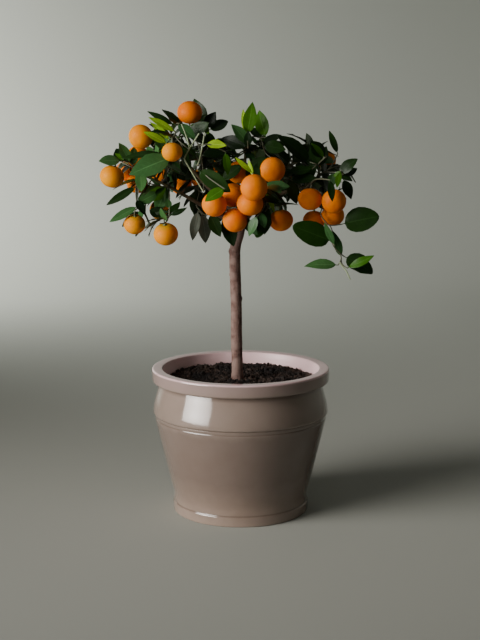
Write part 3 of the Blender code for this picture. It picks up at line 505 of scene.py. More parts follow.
def make_glaze():
    """The pot's glaze."""
    made, tree, shader = start_material("taupe_glaze", 0.11)
    shader.inputs["IOR"].default_value = 1.52
    shader.inputs["Coat Roughness"].default_value = 0.04
    place = put(tree, "ShaderNodeTexCoord").outputs["Object"]
    spot = put(tree, "ShaderNodeSeparateXYZ", {"Vector": place}).outputs
    height = spot["Z"]
    wobble = grain_in(tree, 0.02)
    run = maths(tree, "ADD", height, mapped(tree, wobble, 0.3, 0.7, -0.004, 0.004))
    # The ramp over the height paints light and shade: lighter shoulder, darker lower body, lighter foot.
    ramp = put(tree, "ShaderNodeValToRGB", {"Fac": mapped(tree, run, 0.0, POT_HEIGHT * MM)})
    stops = ramp.color_ramp.elements
    for at, colour in GLAZE_AND_SHADE_BY_HEIGHT[1:-1]:
        stops.new(at)
    for stop, (at, colour) in zip(stops, GLAZE_AND_SHADE_BY_HEIGHT):
        stop.position = at
        stop.color = (*colour, 1)
    colour = ramp.outputs["Color"]
    # Darker bands in the grooves, and painted shadow under the rim.
    for at, reach in GROOVE_BANDS_AND_RIM_SHADOW:
        away = maths(tree, "ABSOLUTE", maths(tree, "SUBTRACT", height, at))
        colour = blended(tree, mapped(tree, away, reach, 0.0, 0.0, 0.55), colour, (0.09, 0.062, 0.048))
    flat = put(tree, "ShaderNodeCombineXYZ", {"X": spot["X"], "Y": spot["Y"]}).outputs[0]
    out = put(tree, "ShaderNodeVectorMath", {0: flat}, operation="LENGTH").outputs["Value"]
    inner = mapped(tree, out, MOUTH * MM + 0.002, MOUTH * MM)
    inner = maths(tree, "MULTIPLY", inner, mapped(tree, height, 0.10, 0.19))
    thin = maths(tree, "MAXIMUM", inner, mapped(tree, height, 0.2138, 0.2164))
    colour = blended(tree, thin, colour, GLAZE_THIN)
    tree.links.new(mapped(tree, inner, 0.0, 1.0, 0.11, 0.38), shader.inputs["Roughness"])
    tree.links.new(mapped(tree, inner, 0.0, 1.0, 0.35, 0.0), shader.inputs["Coat Weight"])
    darker = put(
        tree, "ShaderNodeHueSaturation", {"Color": colour, "Value": 0.93, "Saturation": 1.05}
    ).outputs[0]
    mottled = clouds_in(tree, colour, darker, 0.03, 0.2)["Colour"]
    tree.links.new(mottled, shader.inputs["Base Color"])
    bump_in(tree, shader, grain_in(tree, 0.009), 0.2, 0.0004)
    return made


finish_piece(pot, ["pot"], make_glaze())

# %% [markdown]
# ## Compost
# Potting compost is a bed of dark crumbs over a lumpy surface. One piece is the bed: a disc whose
# height follows noise at three sizes, closed underneath like a plug. Two more are what lies on it,
# scattered by Geometry Nodes: dark crumbs, and a few pale grains. A flat disc with a bump map would
# be cheaper, but its edge against the pale rim would give it away.

# %% Compost bed
BED_RADIUS = 107.4
BED_RINGS = 76
BED_STEPS = 200
BED_DEPTH = 9.0
# Each size of lump: how far apart the lumps are and how high they stand.
BED_LUMPS = ((17.0, 1.8), (6.0, 1.6), (2.2, 0.8))


def bed_height(x, y):
    """The height of the compost at a place, in millimetres."""
    out = max(0.0, min(1.0, (math.hypot(x, y) - 55.0) / 45.0))
    height = SOIL_LEVEL + SOIL_RISE * 0.7 * out * out * (3 - 2 * out)
    for i, (apart, rise) in enumerate(BED_LUMPS):
        height += rise * noise.noise(Vector((x / apart, y / apart, 7.3 * i)))
    return height


def make_bed():
    """The lumpy disc of compost, closed by a side and a flat bottom."""
    verts = [(0, 0, bed_height(0, 0))]
    rings = [BED_RADIUS * i / BED_RINGS for i in range(1, BED_RINGS + 1)]
    for ring, low in [(r, None) for r in rings] + [(BED_RADIUS, SOIL_LEVEL - BED_DEPTH)]:
        for k in range(BED_STEPS):
            turn = 2 * math.pi * k / BED_STEPS
            x, y = ring * math.cos(turn), ring * math.sin(turn)
            verts.append((x, y, bed_height(x, y) if low is None else low))
    verts.append((0, 0, SOIL_LEVEL - BED_DEPTH))
    faces = [(0, 1 + k, 1 + (k + 1) % BED_STEPS) for k in range(BED_STEPS)]
    for i in range(BED_RINGS):
        a, b = 1 + i * BED_STEPS, 1 + (i + 1) * BED_STEPS
        for k in range(BED_STEPS):
            on = (k + 1) % BED_STEPS
            faces.append((a + k, b + k, b + on, a + on))
    last = 1 + BED_RINGS * BED_STEPS
    faces += [(last + (k + 1) % BED_STEPS, last + k, len(verts) - 1) for k in range(BED_STEPS)]
    bed = add_mesh("compost", [Vector(v) * MM for v in verts], faces)
    bed.data.shade_smooth()
    return bed


compost = make_bed()
print("the bed of compost has", len(compost.data.vertices), "points")

# %% Compost finish


def make_compost_look():
    """Dark, damp compost."""
    made, tree, shader = start_material("compost", 0.9)
    shader.inputs["Specular IOR Level"].default_value = 0.3
    fibres = clouds_in(tree, (0.0190, 0.0125, 0.0100), (0.0760, 0.0480, 0.0360), 0.004, 0.1)["Colour"]
    damp = clouds_in(tree, fibres, (0.0120, 0.0095, 0.0090), 0.03, 0.12)["Colour"]
    tree.links.new(damp, shader.inputs["Base Color"])
    bump_in(tree, shader, grain_in(tree, 0.0012), 0.8, 0.0008)
    return made


def make_grain_look(name, colour_a, colour_b):
    """A plain dry grain: a bit of wood, sand or pumice."""
    made, tree, shader = start_material(name, 0.85)
    tree.links.new(clouds_in(tree, colour_a, colour_b, 0.003)["Colour"], shader.inputs["Base Color"])
    bump_in(tree, shader, grain_in(tree, 0.0006), 0.5, 0.0003)
    return made


COMPOST_LOOK = make_compost_look()
PALE_GRAIN_LOOK = make_grain_look("pale_grains", (0.36, 0.31, 0.25), (0.16, 0.12, 0.09))
finish_piece(compost, ["soil"], COMPOST_LOOK)

# %% [markdown]
# The crumbs are one small rough pebble, scattered over the bed, each turned and stretched at
# random. The tree has its sizes, its density and its seed as inputs, so the same tree also lays
# the few pale grains. Only faces that look up get crumbs: none sticks to the plug's side.


# %% Scatter tree
def make_scatter():
    """Scatters a form over a surface's upward faces, turned and stretched at random."""
    tree, given, result = start_group(
        "scatter_on_top",
        "GeometryNodeTree",
        (
            ("Geometry", "NodeSocketGeometry", None),
            ("Form", "NodeSocketObject", None),
            ("Finish", "NodeSocketMaterial", None),
            ("Density", "NodeSocketFloat", 100000.0),
            ("Smallest", "NodeSocketFloat", 0.0006),
            ("Largest", "NodeSocketFloat", 0.0025),
            ("Seed", "NodeSocketInt", 1),
        ),
        (("Geometry", "NodeSocketGeometry"),),
    )
    facing = put(tree, "GeometryNodeInputNormal").outputs["Normal"]
    upward = put(tree, "ShaderNodeSeparateXYZ", {"Vector": facing}).outputs["Z"]
    points = put(
        tree,
        "GeometryNodeDistributePointsOnFaces",
        {
            "Mesh": given["Geometry"],
            "Selection": maths(tree, "GREATER_THAN", upward, 0.35),
            "Density": given["Density"],
            "Seed": given["Seed"],
        },
    ).outputs["Points"]
    form = put(tree, "GeometryNodeObjectInfo", {"Object": given["Form"]}).outputs["Geometry"]
    turn = put(
        tree,
        "FunctionNodeRandomValue",
        {"Max": (6.28, 6.28, 6.28), "Seed": given["Seed"]},
        data_type="FLOAT_VECTOR",
    )
    size = put(
        tree,
        "FunctionNodeRandomValue",
        {"Min": given["Smallest"], "Max": given["Largest"], "Seed": 5},
        data_type="FLOAT",
    )
    shape = put(
        tree,
        "FunctionNodeRandomValue",
        {"Min": (0.6, 0.6, 0.6), "Max": (1.4, 1.4, 1.4), "Seed": 9},
        data_type="FLOAT_VECTOR",
    )
    scale = vectors(
        tree, "SCALE", socket_of(shape.outputs, "Value"), socket_of(size.outputs, "Value")
    )
    turned = put(tree, "FunctionNodeEulerToRotation", {"Euler": socket_of(turn.outputs, "Value")})
    laid = put(
        tree,
        "GeometryNodeInstanceOnPoints",
        {"Points": points, "Instance": form, "Rotation": turned.outputs["Rotation"], "Scale": scale},
    ).outputs["Instances"]
    plain = put(tree, "GeometryNodeRealizeInstances", {"Geometry": laid}).outputs["Geometry"]
    dressed = put(tree, "GeometryNodeSetMaterial", {"Geometry": plain, "Material": given["Finish"]})
    tree.links.new(dressed.outputs["Geometry"], result["Geometry"])
    return tree


def make_pebble():
    """A rough pebble, one metre in radius, with 20 faces."""
    made = bmesh.new()
    bmesh.ops.create_icosphere(made, subdivisions=1, radius=1)
    for vert in made.verts:
        vert.co *= 1 + 0.45 * noise.noise(vert.co * 2.3)
    return from_bmesh("pebble", made)


SCATTER = make_scatter()
pebble = make_pebble()
print("the pebble has", len(pebble.data.polygons), "faces")

# %% Crumbs and grains


def lay_on_bed(name, look, density, smallest, largest, seed):
    """A piece of small things scattered over the compost."""
    bed = add_object(name, compost.data.copy())
    values = {
        "Form": pebble,
        "Finish": look,
        "Density": float(density),
        "Smallest": smallest * MM,
        "Largest": largest * MM,
        "Seed": seed,
    }
    grow_with(bed, SCATTER, **values)
    finish_piece(bed, ["soil"])


lay_on_bed("crumbs", COMPOST_LOOK, 95000, 0.5, 1.9, 3)
lay_on_bed("lumps", COMPOST_LOOK, 22000, 1.6, 4.2, 4)
lay_on_bed("pale_grains", PALE_GRAIN_LOOK, 2200, 0.4, 1.1, 6)
pebble.hide_render = True

# %% [markdown]
# ## How the tree grows
# The same rule that grows the CAD's crown grows this one, so every bough, leaf and fruit stands
# where its solid does. It works in millimetres. Each mass of foliage has a stem that goes on from
# its bough, shoots that bend from that stem to the fruit and to the sprigs that show, and further
# shoots spread over its lobes. A leaf or a shoot that would run through something is skipped. The
# other way, a ready-made tree generator, gives a tree of the kind but never this tree.

# %% Limbs
GAP = 0.3
TRUNK_LINE = (
    (-5.0, 0.0, SOIL_LEVEL + GAP, 8.5),
    (-5.2, 0.0, 225.0, 8.3),
    (-6.2, 1.0, 262.0, 8.4),
    (-6.4, 0.5, 300.0, 8.2),
    (-7.4, 0.0, 340.0, 8.2),
    (-8.6, 0.0, 378.0, 8.3),
    (-7.6, 0.5, 398.0, 8.0),
    (-2.8, 1.0, 414.0, 7.4),
    (1.0, 1.5, 430.0, 6.9),
    (3.8, 2.0, 447.0, 6.0),
)
ROOT_FLARE = 2.2
FLARE_HEIGHT = 9.0
TRUNK_KNOBS = ((318.0, 5.0, 2.8), (356.0, 160.0, 2.8), (392.0, 200.0, 3.8))

# Each bough: where it leaves the trunk, where it enters its foliage, how far it sags
# between the two, and its radius at either end.
BOUGHS = {
    "left_low": ((0.2, 1.4, 426.0), (-92.0, -14.0, 480.0), 0.0, 4.2, 2.4),
    "left_high": ((2.8, 1.8, 440.0), (-80.0, -17.0, 524.0), 6.0, 3.8, 2.1),
    "top": ((3.7, 2.0, 446.0), (6.0, 8.0, 512.0), 1.0, 4.4, 2.5),
    "front": ((1.4, 0.5, 431.0), (15.0, -36.0, 470.0), -3.0, 3.6, 2.2),
    "right": ((1.9, 1.6, 433.0), (80.0, -13.0, 482.0), -10.0, 4.0, 2.5),
    "back_left": ((1.2, 1.6, 433.0), (-50.0, 56.0, 484.0), -6.0, 3.9, 2.3),
    "back_right": ((2.0, 1.6, 435.0), (46.0, 60.0, 488.0), -8.0, 3.9, 2.3),
}


def bough_line(name, steps):
    """The points and radii of a bough, from inside the trunk to where its foliage begins."""
    start, end, bow, thick, thin = BOUGHS[name]
    start, end = Vector(start), Vector(end)
    points = bezier(start, (start + end) / 2 - UP * bow * 2, end, steps)
    return points, [thick + (thin - thick) * i / steps for i in range(steps + 1)]


def trunk_line():
    """The trunk's points and radii, with the flare at its root."""
    points = [Vector(row[:3]) for row in TRUNK_LINE]
    radii = [row[3] for row in TRUNK_LINE]
    foot = points[0]
    flare = [foot + UP * FLARE_HEIGHT * share for share in (0.0, 0.35, 1.0)]
    widths = [radii[0] + ROOT_FLARE * share for share in (1.0, 0.45, 0.08)]
    return flare + points[1:], widths + radii[1:]


print("the tree has a trunk and", len(BOUGHS), "boughs")

# %% [markdown]
# The masses of foliage are the CAD's. Each has the place where its stem divides; its lobes as
# (centre, radii, further shoots); its fruit as (x, y, z, diameter, stalk); its sprigs as the tip
# and the leaves there, each as (heading, length, width, tint), where heading 0 points up and 90 to
# the right as seen from the front; how many fruit hang on the further shoots; and its seed.

# %% Masses of foliage
MASSES = {
    "left_low": {
        "hub": (-132, -24, 500),
        "lobes": (((-140, -14, 506), (66, 80, 50), 4), ((-122, -50, 440), (60, 60, 36), 1)),
        "fruit": (
            (-183, -50, 503, 34, "up"),
            (-151, -60, 436, 30, "front"),
            (-106, -70, 423, 34, "front"),
            (-150, 2, 529, 32, "back"),
            (-170, 24, 507, 30, "up"),
            (-152, 10, 490, 31, "up"),
            (-117, -8, 453, 32, "up"),
        ),
        "sprigs": (
            (-171, -46, 525, ((274, 33, 19, "mid"), (344, 27, 6, "fresh"), (306, 24, 8, "fresh"))),
            (-141, -62, 514, ((178, 32, 17, "mid"),)),
            (-148, -58, 489, ((240, 50, 12, "dark"),)),
            (-146, -62, 461, ((244, 46, 13, "mid"), (64, 35, 17, "mid"), (147, 26, 13, "dark"))),
            (-104, -40, 488, ((240, 38, 20, "fresh"), (207, 40, 23, "mid"))),
            (-101, -70, 449, ((68, 28, 8, "dark"), (266, 22, 8, "dark"), (350, 15, 10, "mid"))),
            (-158, -36, 522, ((334, 34, 15, "mid"), (4, 28, 14, "mid"))),
        ),
        "hung": 0,
        "seed": 11,
    },
    "left_high": {
        "hub": (-92, -26, 552),
        "lobes": (((-92, -28, 554), (74, 80, 50), 4),),
        "fruit": (
            (-73, -22, 593, 35, "down"),
            (-142, -42, 559, 34, "back"),
            (-95, -92, 539, 28, "up"),
        ),
        "sprigs": (
            (-92, -62, 566, ((302, 43, 10, "young"),)),
            (-100, -68, 554, ((318, 41, 10, "young"),)),
            (-103, -72, 550, ((300, 37, 11, "young"),)),
            (-94, -50, 575, ((300, 43, 10, "dark"),)),
            (-85, -40, 578, ((310, 29, 5, "dark"),)),
            (-95, -76, 531, ((251, 66, 33, "mid"),)),
            (-51, 8, 570, ((334, 51, 26, "dark"),)),
            (-50, -12, 570, ((30, 29, 17, "dark"), (290, 20, 10, "fresh"))),
            (-45, -14, 568, ((64, 32, 17, "dark"),)),
            (-49, -56, 549, ((88, 32, 15, "young"),)),
            (-56, -50, 534, ((86, 40, 17, "dark"),)),
            (-110, -64, 535, ((272, 56, 12, "dark"), (338, 36, 15, "dark"))),
            (-21, -60, 538, ((172, 34, 12, "fresh"),)),
            (-60, -90, 514, ((122, 56, 24, "dark"), (134, 46, 14, "mid"))),
            (-22, -109, 489, ((241, 33, 19, "fresh"),)),
            (-78, -34, 560, ((60, 42, 19, "dark"), (200, 38, 18, "dark"))),
        ),
        "hung": 0,
        "seed": 23,
    },
    "top": {
        "hub": (8, 2, 548),
        "lobes": (((6, 0, 540), (80, 82, 46), 8),),
        "fruit": (),
        "sprigs": (
            (9, -20, 561, ((10, 48, 20, "fresh"), (349, 43, 9, "young"))),
            (37, -15, 557, ((342, 44, 21, "fresh"), (306, 26, 13, "dark"))),
            (10, -35, 544, ((289, 42, 20, "dark"), (327, 36, 19, "mid"), (253, 34, 18, "dark"))),
            (32, -25, 546, ((98, 34, 20, "dark"), (67, 32, 13, "dark"))),
        ),
        "hung": 0,
        "seed": 37,
    },
    "front": {
        "hub": (22, -50, 492),
        "lobes": (((4, -76, 478), (88, 74, 62), 4),),
        "fruit": (
            (45, -60, 513, 35, "back"),
            (18, -128, 492, 36, "back"),
            (13, -96, 468, 36, "up"),
            (-11, -58, 477, 34, "back"),
            (-37, -84, 466, 34, "back"),
            (-8, -74, 443, 34, "back"),
            (-3, -30, 508, 32, "back"),
            (58, -40, 440, 34, "up"),
        ),
        "sprigs": (
            (2, -46, 520, ((235, 38, 18, "dark"), (140, 36, 18, "dark"), (60, 38, 18, "dark"))),
            (-2, -40, 480, ()),
            (-24, -36, 470, ()),
            (-61, -42, 454, ((195, 43, 15, "pale"), (169, 49, 20, "pale"))),
            (-45, -41, 449, ((154, 37, 18, "dark"),)),
            (-21, -30, 449, ((168, 49, 23, "dark"),)),
            (38, -45, 462, ((198, 50, 24, "wide"),)),
            (16, -104, 511, ((313, 33, 7, "young"), (337, 29, 6, "young"))),
            (36, -58, 481, ((150, 31, 8, "young"), (110, 34, 15, "dark"))),
        ),
        "hung": 0,
        "seed": 41,
    },
    "right": {
        "hub": (112, -12, 500),
        "lobes": (((102, -12, 496), (74, 84, 56), 2), ((146, -52, 406), (84, 66, 72), 0)),
        "fruit": (
            (99, -50, 471, 34, "up"),
            (132, -64, 469, 34, "back"),
            (133, -30, 446, 33, "up"),
            (107, -12, 437, 32, "up"),
        ),
        "sprigs": (
            (99, -35, 523, ((315, 62, 25, "dark"),)),
            (111, -34, 519, ((342, 35, 16, "dark"), (23, 34, 16, "dark"))),
            (117, -62, 531, ((323, 27, 9, "fresh"),)),
            (120, -48, 530, ((318, 34, 20, "dark"),)),
            (141, -58, 512, ((192, 27, 9, "fresh"), (238, 15, 7, "fresh"))),
            (140, -20, 535, ((338, 37, 10, "dark"),)),
            (143, -30, 506, ((41, 33, 18, "dark"), (112, 26, 12, "dark"), (197, 27, 14, "mid"))),
            (148, -26, 498, ((156, 32, 16, "dark"), (60, 30, 14, "dark"))),
            (125, -84, 500, ((173, 31, 11, "dark"),)),
            (102, -40, 513, ((266, 38, 13, "dark"), (327, 34, 15, "dark"), (225, 40, 18, "dark"))),
            (68, -35, 500, ((159, 43, 18, "dark"), (80, 40, 19, "dark"))),
            (118, -26, 477, ()),
            (116, -45, 456, ()),
            (123, -56, 437, ()),
            (145, -56, 436, ((74, 54, 38, "wide"),)),
            (130, -60, 411, ((294, 62, 35, "wide"),)),
            (134, -66, 407, ((332, 37, 10, "mid"),)),
            (144, -58, 388, ((344, 42, 14, "mid"),)),
            (149, -56, 389, ((113, 47, 32, "wide"),)),
            (139, -58, 377, ((277, 50, 18, "mid"),)),
            (152, -74, 375, ((61, 42, 13, "fresh"),)),
        ),
        "hung": 0,
        "seed": 56,
    },
    "back_left": {
        "hub": (-88, 94, 512),
        "lobes": (
            ((-88, 92, 514), (92, 80, 56), 4),
            ((-36, 100, 512), (60, 66, 50), 2),
            ((-44, 62, 470), (66, 56, 46), 2),
        ),
        "fruit": (
            (-62, 158, 490, 34, "up"),
            (-94, 148, 480, 33, "up"),
            (-30, 160, 512, 32, "up"),
        ),
        "sprigs": (),
        "hung": 5,
        "seed": 67,
    },
    "back_right": {
        "hub": (80, 96, 514),
        "lobes": (
            ((84, 94, 512), (92, 80, 56), 4),
            ((36, 102, 510), (60, 66, 50), 2),
            ((48, 62, 472), (66, 56, 46), 2),
        ),
        "fruit": (
            (58, 158, 498, 35, "up"),
            (88, 150, 484, 33, "up"),
            (132, 134, 518, 34, "up"),
        ),
        "sprigs": (),
        "hung": 5,
        "seed": 71,
    },
}
# Long bare shoots that show, each a row of points, of which the rule reaches the first.
WANDS = {
    "left_high": (
        ((-52, -72, 483), (-79, -78, 529), (-58, -80, 564)),
        ((-73, -80, 543), (-82, -80, 577)),
        ((-61, -80, 520), (-50, -78, 566)),
    ),
    "right": (((142, -60, 382), (152, -62, 368), (157, -62, 357)),),
}
FOLIAGE_NODES = ["foliage_" + mass for mass in MASSES]
print(sum(len(mass["fruit"]) for mass in MASSES.values()), "fruit are placed by hand")

# %% Sizes of shoots and leaves
SHOOT_BASE_RADIUS = 1.9
SHOOT_TIP_RADIUS = 1.2
SHOOT_STEPS = 3
SHOOT_FOLLOWS_PARENT = 0.35
SHOOT_ORIGINS = 6
SHOOT_TRIES = 6
SHOOT_REACH = (0.62, 0.86)
STRAY = (0.1, 0.5)
STALK_LENGTH = 7.0
LEAF_TURN = math.radians(137.5)
LEAF_STEP = 7.5
LEAF_OPENING = (34.0, 68.0)
LEAF_TRIES = 7
LEAVES_ON_A_SHOOT = (6, 7)
LEAVES_ON_A_STALK = 2
SPRIG_STEP = 5.0
SPRIG_LEANS = (-0.3, 0.25, -0.05, 0.5, -0.5)
ROOT_ROOM = 11.0
NEAREST_ORIGIN = 6.0
TURN_COST = 0.35
RUN_COST = 0.3
STALK_TO_HUB = 0.35
STALK_SUNK = 0.42
HUNG_FRUIT = (30.0, 35.0)
# The rule hangs fruit only behind this, where the photo shows nothing.
HUNG_BEHIND = 95.0
# The rule's leaves: their lengths and tints, how a leaf opens from its shoot and which way it
# faces, and how it is turned on and shortened when its place is taken.
LEAF_LENGTHS = (42.0, 56.0)
STALK_LEAF_LENGTH = 46.0
SHOOT_TINTS = ("dark", "dark", "dark", "mid", "fresh")
LEAF_SIZES = (0.86, 1.1)
OPENING_AT_BASE = 1.15
OPENING_LOST = 0.5
LEAF_LIFT = 0.08
FACE_UP = 0.55
FACE_OUT = 0.75
FACE_STRAY = 0.45
CURLS = (0.4, 1.6)
LOWEST_LEAF = 0.15
TURN_ON = 0.9
SHORTEN = 0.97
# An aimed leaf's tries: so many, with the heading moved and the size cut after each five leans.
AIMED_TRIES = 20
AIMED_BEND = 6.0
AIMED_CUT = 0.04
# The room kept round things: a leaf's own half, and what is left to fruit, wood and leaves.
LEAF_ROOM = 1.8
WOOD_ROOM = 1.2
LEAF_TO_FRUIT = 1.2
LEAF_TO_OWN = 1.4
LEAF_TO_OTHER = 2.6
SHOOT_TO_FRUIT = 1.6
SHOOT_TO_OTHER = 3.0
FRUIT_TO_FRUIT = 3.0
FRUIT_TO_OTHER = 1.5
LEAF_WIDTH = {"dark": 0.49, "mid": 0.48, "fresh": 0.44, "young": 0.42}
LEAF_FOLD = 0.16
LEAF_CURL = 0.14
LEAF_SUNK = 0.45
HEART = Vector((0, 0, 470))
SEEN_FROM = Vector((-1, -1829, 594))
FRONT_FRUIT_Y = -20.0
SHOWN_SHARE = 0.85
# No leaf of the rule comes this near to a wand, seen from the front.
WAND_ROOM = 3.5
WAND_BEND = 0.08
STALK_WAYS = {
    "up": Vector((0, 0, 1)),
    "front": Vector((0, -0.7, 1)),
    "down": Vector((0.1, 0.35, -1)),
    "back": Vector((0, 1, 0.45)),
}

# %% [markdown]
# A growing crown has to know what room is taken. Every bit of wood, leaf and fruit goes into a
# grid of small cells, so that a new leaf is only compared with its near neighbours. Which mass a
# place belongs to is decided by the nearest mark: a lobe's middle, a fruit or a sprig's leaf.


# %% Room in the crown
def marks_of(mass):
    """The points that mark out a mass's space: its lobes, its fruit and its sprigs' leaves."""
    facts = MASSES[mass]
    yield Vector(facts["hub"])
    for centre, _, _ in facts["lobes"]:
        yield Vector(centre)
    for row in facts["fruit"]:
        yield Vector(row[:3])
    for x, y, z, aimed in facts["sprigs"]:
        for heading, length, _, _ in aimed or ((0, 0, 0, ""),):
            turn = math.radians(heading)
            for share in (0.0, 0.5, 1.0):
                far = length * share
                yield Vector((x + far * math.sin(turn), y, z + far * math.cos(turn)))
    for wand in WANDS.get(mass, ()):
        yield from (Vector(point) for point in wand)


class Crown:
    """Grows the foliage and remembers what room is taken, so that nothing grows through it."""

    CELL = 14.0

    def __init__(self):
        self.taken = {}
        self.fruit = []
        self.shown = []
        marks = [(name, mark) for name in MASSES for mark in marks_of(name)]
        self.owners = [name for name, _ in marks]
        self.marks = KDTree(len(marks))
        for i, (_, mark) in enumerate(marks):
            self.marks.insert(mark, i)
        self.marks.balance()
        for name in BOUGHS:
            points, radii = bough_line(name, 30)
            for point, radius in zip(points, radii):
                self.take(point, radius + WOOD_ROOM, "wood", "bough_" + name)
        points, radii = trunk_line()
        for a, b, radius in zip(points, points[1:], radii):
            for i in range(8):
                self.take(a.lerp(b, i / 8), radius + WOOD_ROOM, "wood", "trunk")

    def cell(self, point):
        return tuple(math.floor(x / self.CELL) for x in point)

    def take(self, point, radius, kind, owner):
        self.taken.setdefault(self.cell(point), []).append((point, radius, kind, owner))

    def near(self, point):
        x, y, z = self.cell(point)
        for i in (x - 1, x, x + 1):
            for j in (y - 1, y, y + 1):
                for k in (z - 1, z, z + 1):
                    yield from self.taken.get((i, j, k), ())

    def home(self, point):
        """The mass that the point's space belongs to: the one with the nearest mark."""
        return self.owners[self.marks.find(point)[1]]

    def inside(self, mass, point):
        """Whether the point lies in one of the mass's lobes and in no other mass's space."""
        for centre, radii, _ in MASSES[mass]["lobes"]:
            away = point - Vector(centre)
            if sum((a / r) ** 2 for a, r in zip(away, radii)) < 1:
                return self.home(point) == mass
        return False

    def clear_of_fruit(self, point, margin, but=None):
        for i, (centre, radius) in enumerate(self.fruit):
            if i != but and (point - centre).length < radius + margin:
                return False
        return True

    def clear_for_leaf(self, mass, root, points, aimed=False):
        """Whether the leaf's sample points keep to the mass's space and off all that is there."""
        for point in points:
            if not (self.home(point) == mass if aimed else self.inside(mass, point)):
                return False
            if not self.clear_of_fruit(point, LEAF_TO_FRUIT):
                return False
            for other, radius, _, owner in self.near(point):
                own = owner == mass
                if own and (other - root).length < ROOT_ROOM:
                    continue
                if (point - other).length < radius + (LEAF_TO_OWN if own else LEAF_TO_OTHER):
                    return False
        return True

    def add_fruit(self, centre, radius):
        """Gives a fruit its room; one near the front is among the things that show."""
        self.fruit.append((centre, radius))
        if centre.y <= FRONT_FRUIT_Y:
            self.shown.append((centre, radius * SHOWN_SHARE))

    def hides_shown(self, point):
        """Whether the point stands before a thing that shows, seen from the front."""
        away = point - SEEN_FROM
        for centre, radius in self.shown:
            sight = centre - SEEN_FROM
            if away.length < sight.length and away.cross(sight).length < radius * away.length:
                return True
        return False

    def keep_leaf(self, mass, leaf, aimed=False):
        """Takes the leaf's room if it is free; only an aimed leaf may hide a thing that shows."""
        samples = leaf_samples(leaf)
        if not self.clear_for_leaf(mass, leaf["root"], samples, aimed):
            return False
        if not aimed and any(self.hides_shown(point) for point in samples):
            return False
        for point in samples:
            self.take(point, LEAF_ROOM, "leaf", mass)
        return True

    def clear_for_shoot(self, mass, points, but=None):
        """Whether a shoot's points keep to the mass's space and off wood, fruit and leaves."""
        for point in points:
            if self.home(point) != mass or not self.clear_of_fruit(point, SHOOT_TO_FRUIT, but):
                return False
            for other, radius, kind, owner in self.near(point):
                if owner == mass and kind != "leaf":
                    continue
                if (point - other).length < radius + SHOOT_TO_OTHER:
                    return False
        return True


# %% [markdown]
# A leaf is set on its shoot by two numbers: how far along it stands, and the turn round the shoot,
# 137.5 degrees on from the last one, as on the living plant. Its face turns up and out to the
# light. The sprigs that show have their leaves' headings given, and only their lean is found.


# %% Leaves on shoots
def leaf_point(leaf, along, across):
    """The point of a leaf at a share of its length and of its half width there."""
    length = leaf["length"]
    half = leaf["width"] / 2 * math.sin(math.pi * along**0.85) ** 0.8 if 0 < along < 1 else 0.0
    side = across * half
    lift = LEAF_FOLD * abs(side) - leaf["curl"] * length * along**2
    return leaf["root"] + leaf["way"] * (along * length) + leaf["side"] * side + leaf["face"] * lift


def leaf_samples(leaf):
    """Points spread over a leaf, for keeping it clear of what is there."""
    rows = (0.2, 0.34, 0.48, 0.62, 0.76, 0.9)
    across = (-0.95, -0.45, 0.0, 0.45, 0.95)
    return [leaf_point(leaf, a, c) for a in rows for c in across] + [leaf_point(leaf, 1, 0)]


def point_on(shoot, at):
    """The point at a share of a shoot's length, and the shoot's direction there."""
    points = shoot["points"]
    steps = [(b - a).length for a, b in zip(points, points[1:])]
    left = at * sum(steps)
    for a, b, step in zip(points, points[1:], steps):
        if left <= step:
            break
        left -= step
    return a.lerp(b, min(1.0, left / step)), (b - a).normalized()


def length_of(shoot):
    return sum((b - a).length for a, b in zip(shoot["points"], shoot["points"][1:]))


def smooth_points(points, steps):
    """Points spread along a row of points, so many to each step of it."""
    return [a.lerp(b, i / steps) for a, b in zip(points, points[1:]) for i in range(1, steps + 1)]


def leaf_on(rng, shoot, at, turn, length, tint):
    """A leaf set on a shoot by the rule, its face turned up and away from the crown's middle."""
    root, along = point_on(shoot, at)
    first = along.orthogonal().normalized()
    second = along.cross(first)
    radial = first * math.cos(turn) + second * math.sin(turn)
    opening = math.radians(rng.uniform(*LEAF_OPENING)) * (OPENING_AT_BASE - OPENING_LOST * at)
    way = along * math.cos(opening) + radial * math.sin(opening) + UP * LEAF_LIFT
    way.normalize()
    face = UP * FACE_UP + (root - HEART).normalized() * FACE_OUT
    face += Vector([rng.uniform(-FACE_STRAY, FACE_STRAY) for _ in range(3)])
    size = length * rng.uniform(*LEAF_SIZES)
    return make_leaf(rng, root, way, face, size, size * LEAF_WIDTH[tint], tint)


def aimed_leaf(rng, shoot, at, heading, length, width, tint, lean):
    """A leaf whose heading is given as seen from the front, its face turned to be seen."""
    root, _ = point_on(shoot, at)
    turn = math.radians(heading)
    way = Vector((math.sin(turn), lean, math.cos(turn))).normalized()
    face = Vector((rng.uniform(-0.2, 0.2), -0.85, rng.uniform(0.2, 0.6)))
    return make_leaf(rng, root, way, face, length, width, tint)


def make_leaf(rng, root, way, face, length, width, tint):
    """The facts of a leaf from its root, its heading and roughly the way it faces."""
    face = (face - way * face.dot(way)).normalized()
    return {
        "root": root - way * LEAF_SUNK,
        "way": way,
        "side": way.cross(face),
        "face": face,
        "length": length,
        "width": width,
        "curl": LEAF_CURL * rng.uniform(*CURLS),
        "tint": tint,
    }


def set_leaves(crown, rng, mass, shoot):
    """Sets leaves round a shoot in a spiral, from its tip back, and skips one with no room."""
    count, length, tint = shoot["bears"]
    leaves = []
    turn = rng.uniform(0, 2 * math.pi)
    reach = length_of(shoot)
    for i in range(count):
        at = 1 - (2 + i * LEAF_STEP + shoot["stalk"]) / reach
        if at < LOWEST_LEAF:
            break
        turn += LEAF_TURN
        for _ in range(LEAF_TRIES):
            leaf = leaf_on(rng, shoot, at, turn, length, tint)
            if crown.keep_leaf(mass, leaf):
                leaves.append(leaf)
                break
            turn += TURN_ON
            length *= SHORTEN
    return leaves


